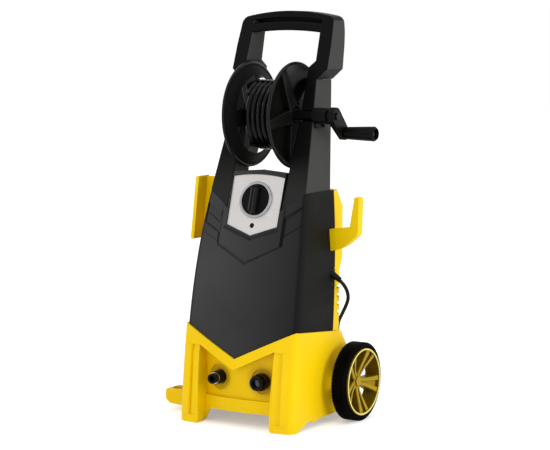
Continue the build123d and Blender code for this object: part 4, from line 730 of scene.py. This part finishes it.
def buildTreadTree():
    # slanted lugs set round the tyre
    tree = bpy.data.node_groups.new("treadLugs", "GeometryNodeTree")
    face = tree.interface
    face.new_socket("Geometry", in_out="OUTPUT", socket_type="NodeSocketGeometry")
    for name, kind, value in (("Lugs", "NodeSocketInt", 44), ("Radius", "NodeSocketFloat", 0.084),
                              ("Lug width", "NodeSocketFloat", 0.03),
                              ("Lug length", "NodeSocketFloat", 0.007),
                              ("Lug height", "NodeSocketFloat", 0.002),
                              ("Slant", "NodeSocketFloat", 0.16)):
        face.new_socket(name, in_out="INPUT", socket_type=kind).default_value = value
    face.new_socket("Rubber", in_out="INPUT", socket_type="NodeSocketMaterial")
    start = addNode(tree, "NodeGroupInput", (-1100, 0))
    end = addNode(tree, "NodeGroupOutput", (900, 0))
    ring = addNode(tree, "GeometryNodeMeshCircle", (-700, 200))
    size = addNode(tree, "ShaderNodeCombineXYZ", (-800, -200))
    lug = addNode(tree, "GeometryNodeMeshCube", (-600, -200))
    tilt = addNode(tree, "GeometryNodeTransform", (-400, -200))
    tiltTurn = addNode(tree, "ShaderNodeCombineXYZ", (-600, -420))
    place = addNode(tree, "GeometryNodeInputPosition", (-800, 460))
    parts = addNode(tree, "ShaderNodeSeparateXYZ", (-620, 460))
    angle = addNode(tree, "ShaderNodeMath", (-440, 460), operation="ARCTAN2")
    spin = addNode(tree, "ShaderNodeCombineXYZ", (-260, 460))
    spread = addNode(tree, "GeometryNodeInstanceOnPoints", (-100, 100))
    whole = addNode(tree, "GeometryNodeRealizeInstances", (200, 100))
    finish = addNode(tree, "GeometryNodeSetMaterial", (500, 100))
    link = tree.links.new
    link(start.outputs["Lugs"], ring.inputs["Vertices"])
    link(start.outputs["Radius"], ring.inputs["Radius"])
    link(start.outputs["Lug height"], size.inputs[0])
    link(start.outputs["Lug length"], size.inputs[1])
    link(start.outputs["Lug width"], size.inputs[2])
    link(size.outputs[0], lug.inputs["Size"])
    link(start.outputs["Slant"], tiltTurn.inputs[0])
    link(lug.outputs["Mesh"], tilt.inputs["Geometry"])
    link(tiltTurn.outputs[0], tilt.inputs["Rotation"])
    link(place.outputs[0], parts.inputs[0])
    link(parts.outputs["Y"], angle.inputs[0])
    link(parts.outputs["X"], angle.inputs[1])
    link(angle.outputs[0], spin.inputs[2])
    link(ring.outputs[0], spread.inputs["Points"])
    link(tilt.outputs[0], spread.inputs["Instance"])
    link(spin.outputs[0], spread.inputs["Rotation"])
    link(spread.outputs[0], whole.inputs[0])
    link(whole.outputs[0], finish.inputs["Geometry"])
    link(start.outputs["Rubber"], finish.inputs["Material"])
    link(finish.outputs[0], end.inputs[0])
    return tree


def buildTyre(name, side, tree):
    values = wheelValues
    inner = values["inner"]
    outer = inner + values["tyreWidth"]
    top = values["tyreRadius"]
    bore = values["barrelOuter"] + 0.0001
    profile = ((inner, bore), (inner, top - 0.0065), (inner + 0.0012, top - 0.0032),
               (inner + 0.0036, top - 0.0008), (inner + 0.0066, top), (outer - 0.0066, top),
               (outer - 0.0036, top - 0.0008), (outer - 0.0012, top - 0.0032),
               (outer, top - 0.0062), (outer - 0.0002, top - 0.0071),
               (outer - 0.0009, top - 0.0074), (outer - 0.0009, top - 0.0084),
               (outer - 0.0002, top - 0.0088), (outer, bore + 0.0008), (outer - 0.0006, bore))
    form = bmesh.new()
    spinRing(form, profile, values["centre"], 128, side)
    lugs = growMesh("tread", tree, {**treadValues, "Rubber": tyreRubber})
    middle = side * (inner + values["tyreWidth"] / 2)
    turn = Matrix.Rotation(math.radians(90), 4, "Y")
    if side < 0:
        turn = Matrix.Rotation(math.radians(180), 4, "X") @ turn
    lugs.transform(Matrix.Translation((middle, values["centre"][0], values["centre"][1])) @ turn)
    form.from_mesh(lugs)
    bpy.data.meshes.remove(lugs)
    return finishForm(name, form, tyreRubber, 30.0)


def buildAxle():
    form = bmesh.new()
    half = wheelValues["hubFace"] + 0.0001
    radius = wheelValues["axleRadius"]
    spinRing(form, ((-half, 0.0003), (-half, radius - 0.0005), (-half + 0.0006, radius),
                    (half - 0.0006, radius), (half, radius - 0.0005), (half, 0.0003)),
             wheelValues["centre"], 32)
    return finishForm("axleBar", form, zincSteel)


def mountWheels():
    tree = buildTreadTree()
    for side, name, label in ((-1.0, "left", "Left"), (1.0, "right", "Right")):
        wheel = "wheel_" + name
        for piece, node, body, slot in (
                (buildRim("rim" + label, side), "rim_" + name, wheel, "yellow"),
                (buildHubCap("hubCap" + label, side), "hub_cap_" + name, "root", "yellow"),
                (buildTyre("tyre" + label, side, tree), "tyre_" + name, wheel, "tyre")):
            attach(piece, body)
            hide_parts(node)
    axle = buildAxle()
    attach(axle, "root")
    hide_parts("axle")


mountWheels()
print("wheels mounted")


# the rounded grip rail along the handle's lower bar

railValues = {
    "halfLength": 0.0866, "steps": 36, "height": 0.0208, "depth": 0.020, "proud": 0.0008,
    "low": 0.8324, "rise": 0.0052, "corner": 0.006, "cornerSteps": 5,
    "lean": 0.3415, "foot": (-0.046, 0.496),  # the handle's front line: y at a height, per height
}


def buildGripRail():
    form = bmesh.new()
    values = railValues
    rings = []
    for index in range(values["steps"] + 1):
        x = values["halfLength"] * (2 * index / values["steps"] - 1)
        low = values["low"] + values["rise"] * (1 - (x / values["halfLength"]) ** 2)
        high = low + values["height"]
        ring = []
        for front, z, first in ((True, high, 90), (True, low, 180), (False, low, 270),
                                (False, high, 0)):
            for step in range(values["cornerSteps"] + 1):
                turn = math.radians(first + 90 * step / values["cornerSteps"])
                inset = values["corner"]
                along = (inset if front else values["depth"] - inset) + inset * math.cos(turn)
                up = (z - inset if z == high else z + inset) + inset * math.sin(turn)
                face = values["foot"][0] + values["lean"] * (up - values["foot"][1])
                ring.append((x, face - values["proud"] + along, up))
        rings.append(ring)
    loftRings(form, rings)
    rail = finishForm("gripRail", form, armSkin, 40.0)
    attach(rail, "root")


buildGripRail()
print("grip rail seated")


# reel flanges: a dished disc with a rolled rim, open windows and boxed spokes

flangeValues = {
    "axis": (0.018, 0.657), "steps": 120, "wall": 0.0028, "hubRadius": 0.026, "hubFace": 0.058,
    "hubBore": 0.0112,
    "hubBack": 0.0381, "dishEdge": 0.1085, "ribEnd": 0.1065,
    # radius and distance from the middle of the reel
    "dish": ((0.026, 0.0381), (0.060, 0.0381), (0.078, 0.0386), (0.090, 0.0440), (0.1085, 0.0545)),
    "rimRadius": 0.1112, "rimBead": 0.0034, "rimX": 0.0564,
    "spokes": 5, "spokeWidth": 0.038, "ribRoot": 0.030, "ribTip": 0.019, "windowIn": 0.044,
    "glossFrom": 0.1078,  # the left dish is matt between its windows and the rolled rim
    "left": {"phase": 112.0, "windowOut": 0.084},
    "right": {"phase": 117.0, "windowOut": 0.0},  # closed between its ribs
}


def dishAt(radius):
    # where the dish's inner face stands at a radius
    rows = flangeValues["dish"]
    for (r0, x0), (r1, x1) in zip(rows, rows[1:]):
        if radius <= r1:
            break
    return x0 + (x1 - x0) * (radius - r0) / (r1 - r0)


def ringOfDish(form, low, high, side):
    wall = flangeValues["wall"]
    radii = [low, *(r for r, x in flangeValues["dish"] if low < r < high), high]
    profile = [(dishAt(r), r) for r in radii] + [(dishAt(r) + wall, r) for r in reversed(radii)]
    spinRing(form, profile, flangeValues["axis"], flangeValues["steps"], side)


def buildFlange(name, side, values):
    shared = flangeValues
    form = bmesh.new()
    if values["windowOut"]:
        ringOfDish(form, shared["hubRadius"] - 0.001, shared["windowIn"], side)
        ringOfDish(form, values["windowOut"], shared["dishEdge"], side)
    else:
        ringOfDish(form, shared["hubRadius"] - 0.001, shared["dishEdge"], side)
    bead = [(shared["rimX"] + shared["rimBead"] * math.cos(a), shared["rimRadius"]
             + shared["rimBead"] * math.sin(a)) for a in (math.radians(30 * k) for k in range(12))]
    spinRing(form, bead, shared["axis"], shared["steps"], side)
    hub, face, bore = shared["hubRadius"], shared["hubFace"], shared["hubBore"]
    back, axis = shared["hubBack"], shared["axis"]
    spinRing(form, ((back, bore), (back, hub), (face - 0.0015, hub), (face, hub - 0.0015),
                    (face, hub - 0.007), (face - 0.004, hub - 0.008), (face - 0.004, bore + 0.005),
                    (face, bore + 0.004), (face, bore)), axis, 64, side)
    radii = (shared["windowIn"] - 0.002, 0.060, 0.071, 0.078, 0.084, values["windowOut"] + 0.002)
    for spoke in range(shared["spokes"]):
        turn = math.radians(values["phase"] + 360 / shared["spokes"] * spoke)
        if values["windowOut"]:
            half = shared["spokeWidth"] / 2
            loftRings(form, [[
                aroundAxis(axis, turn, side, radius, t, dishAt(radius) + rise) for t, rise in (
                    (-half, 0.0001), (half, 0.0001), (half, shared["wall"]),
                    (-half, shared["wall"]))] for radius in radii])
        box = []
        for radius in (hub - 0.002, 0.050, 0.078, 0.098, shared["ribEnd"]):
            share = (radius - hub) / (shared["ribEnd"] - hub)
            half = (shared["ribRoot"] + (shared["ribTip"] - shared["ribRoot"]) * share) / 2
            foot = dishAt(max(radius, hub)) + 0.001
            top = face - 0.0008 * share
            box.append([aroundAxis(axis, turn, side, radius, t, x) for t, x in (
                (-half, foot), (half, foot), (half, top - 0.0014), (half - 0.0012, top),
                (-half + 0.0012, top), (-half, top - 0.0014))])
        loftRings(form, box)
    flange = finishForm(name, form, reelGloss, 30.0)
    if values["windowOut"]:
        flange.data.materials.append(reelMatt)
        for polygon in flange.data.polygons:
            reach = math.hypot(polygon.center.y - axis[0], polygon.center.z - axis[1])
            polygon.material_index = int(values["windowOut"] < reach < shared["glossFrom"])
    return flange


def mountFlanges():
    for side, name, label in ((-1.0, "left", "Left"), (1.0, "right", "Right")):
        flange = buildFlange("reelFlange" + label, side, flangeValues[name])
        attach(flange, "reel")
        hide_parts("reel_flange_" + name)


mountFlanges()
print("reel flanges mounted")


# the power cord, from its gland down to the coil put away behind the washer

cordValues = {
    "diameter": 0.008, "length": 4.9,
    "route": ((0.134, 0.0415, 0.317), (0.150, 0.050, 0.303), (0.160, 0.060, 0.284),
              (0.1585, 0.071, 0.262), (0.143, 0.085, 0.241), (0.125, 0.101, 0.221),
              (0.105, 0.119, 0.199), (0.092, 0.140, 0.173), (0.082, 0.158, 0.145),
              (0.073, 0.172, 0.112), (0.064, 0.183, 0.078), (0.054, 0.191, 0.044),
              (0.039, 0.200, 0.019), (0.015, 0.214, 0.0058), (-0.010, 0.233, 0.0043),
              (-0.027, 0.256, 0.0043)),
    "tail": ((-0.1566, 0.270, 0.0268), (-0.159, 0.257, 0.0208), (-0.161, 0.244, 0.0193),
             (-0.1616, 0.240, 0.0193)),
    "coilCentre": (-0.095, 0.285), "coilMean": 0.048, "rows": 4, "layers": 4,
    "firstHeight": 0.0054, "stepPoints": 20,
}


def coilPoints():
    # turns lie side by side and on each other; each layer climbs where nothing lies beside it
    pitch = cordValues["diameter"]
    rows = cordValues["rows"]
    mean = cordValues["coilMean"]
    outer = mean + pitch * (rows - 1) / 2
    moves = []  # (start angle, end angle, change of radius, change of height)
    angle = 0
    for layer in range(cordValues["layers"]):
        inward = -1 if layer % 2 == 0 else 1
        shift = (300 - 140 * layer) % 360
        first = angle + (shift - angle) % 360
        for row in range(rows - 1):
            begin = first + 360 * row
            moves.append((begin, begin + 60, inward * pitch, 0))
        angle = begin + 60
        if layer < cordValues["layers"] - 1:
            climb = angle + (shift - 70 - angle) % 360
            moves.append((climb, climb + 60, 0, pitch))
            angle = climb + 60
    last = angle + (180 - angle) % 360
    points = []
    centreX, centreY = cordValues["coilCentre"]
    step = 360 / cordValues["stepPoints"]
    count = int(last / step)
    for index in range(1, count + 1):
        at = index * step
        radius = outer
        height = cordValues["firstHeight"]
        for begin, finish, grow, rise in moves:
            share = min(max((at - begin) / (finish - begin), 0), 1)
            share = share * share * (3 - 2 * share)
            radius += grow * share
            height += rise * share
        turn = math.radians(at)
        points.append((centreX + radius * math.cos(turn), centreY + radius * math.sin(turn),
                       height))
    return points


def layCord():
    points = [*cordValues["route"], *coilPoints(), *cordValues["tail"]]
    data = bpy.data.curves.new("powerLead", "CURVE")
    data.dimensions = "3D"
    spline = data.splines.new("NURBS")
    spline.points.add(len(points) - 1)
    for point, place in zip(spline.points, points):
        point.co = (*place, 1.0)
    spline.order_u = 3
    spline.use_endpoint_u = True
    spline.resolution_u = 6
    data.bevel_depth = cordValues["diameter"] / 2
    data.bevel_resolution = 4
    data.use_fill_caps = True
    data.materials.append(cordRubber)
    lead = bpy.data.objects.new("powerLead", data)
    bpy.context.collection.objects.link(lead)
    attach(lead, "root")
    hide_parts("power_cord", "cord_tail", "cord_coil")


layCord()
print("cord laid")


# floor, light and camera

studioValues = {
    "floorTone": linear(250, 250, 250), "floorReach": 14.0, "floorGlow": 0.32,
    "worldStrength": 0.9,
    # name, place, width, height, power
    "lamps": (("keyLamp", (-2.8, -1.6, 2.2), 0.6, 0.6, 9.0),
              ("fillLamp", (3.4, -0.2, 1.2), 1.5, 1.5, 45.0),
              ("topLamp", (0.1, -0.6, 3.1), 0.8, 0.8, 6.0),
              ("stripLamp", (-0.3, -3.4, 0.7), 0.08, 2.4, 13.0)),
    "aim": (0.0, 0.02, 0.42),
}


def buildStudio():
    world = bpy.data.worlds.new("studio")
    bpy.context.scene.world = world
    world.use_nodes = True
    tree = world.node_tree
    tree.nodes.clear()
    # camera, glossy and see-through rays find plain white; the object is lit by less
    path = addNode(tree, "ShaderNodeLightPath", (-700, 0))
    anyWhite = addNode(tree, "ShaderNodeMath", (-400, 0), operation="MAXIMUM")
    white = addNode(tree, "ShaderNodeMath", (-200, 0), operation="MAXIMUM")
    tree.links.new(path.outputs["Is Camera Ray"], anyWhite.inputs[0])
    tree.links.new(path.outputs["Is Transmission Ray"], anyWhite.inputs[1])
    tree.links.new(anyWhite.outputs[0], white.inputs[0])
    tree.links.new(path.outputs["Is Glossy Ray"], white.inputs[1])
    strength = rangeOf(tree, (0, 0), white.outputs[0], studioValues["worldStrength"], 1.0)
    back = addNode(tree, "ShaderNodeBackground", (300, 0))
    back.inputs["Color"].default_value = (1.0, 1.0, 1.0, 1.0)
    tree.links.new(strength, back.inputs["Strength"])
    out = addNode(tree, "ShaderNodeOutputWorld", (500, 0))
    tree.links.new(back.outputs[0], out.inputs["Surface"])

    form = bmesh.new()
    bmesh.ops.create_grid(form, x_segments=1, y_segments=1,
                         size=studioValues["floorReach"])
    mesh = bpy.data.meshes.new("studioFloor")
    form.to_mesh(mesh)
    form.free()
    floor = bpy.data.objects.new("studioFloor", mesh)
    bpy.context.collection.objects.link(floor)
    material, tree, surface = startMaterial("floorPaint")
    surface.inputs["Base Color"].default_value = studioValues["floorTone"]
    surface.inputs["Roughness"].default_value = 0.9
    surface.inputs["Specular IOR Level"].default_value = 0.1
    path = addNode(tree, "ShaderNodeLightPath", (-400, -400))
    surface.inputs["Emission Color"].default_value = (1.0, 1.0, 1.0, 1.0)
    glow = rangeOf(tree, (-200, -400), path.outputs["Is Camera Ray"], 0.0,
                   studioValues["floorGlow"])
    tree.links.new(glow, surface.inputs["Emission Strength"])
    mesh.materials.append(material)

    aim = Vector(studioValues["aim"])
    for name, place, width, height, power in studioValues["lamps"]:
        data = bpy.data.lights.new(name, "AREA")
        data.shape = "RECTANGLE"
        data.size = width
        data.size_y = height
        data.energy = power
        lamp = bpy.data.objects.new(name, data)
        bpy.context.collection.objects.link(lamp)
        lamp.location = place
        lamp.rotation_euler = (aim - Vector(place)).to_track_quat("-Z", "Y").to_euler()


cameraValues = {"place": (2.0085, -3.2363, 0.8394), "aim": (0.0, 0.02487, 0.4168), "lens": 116.0}


def placeCamera():
    data = bpy.data.cameras.new("viewCamera")
    data.lens = cameraValues["lens"]
    data.sensor_width = 36.0
    camera = bpy.data.objects.new("viewCamera", data)
    bpy.context.collection.objects.link(camera)
    camera.location = cameraValues["place"]
    look = Vector(cameraValues["aim"]) - Vector(cameraValues["place"])
    camera.rotation_euler = look.to_track_quat("-Z", "Y").to_euler()
    bpy.context.scene.camera = camera


buildStudio()
placeCamera()
bpy.context.scene.view_settings.view_transform = "Standard"
print("studio and camera placed")
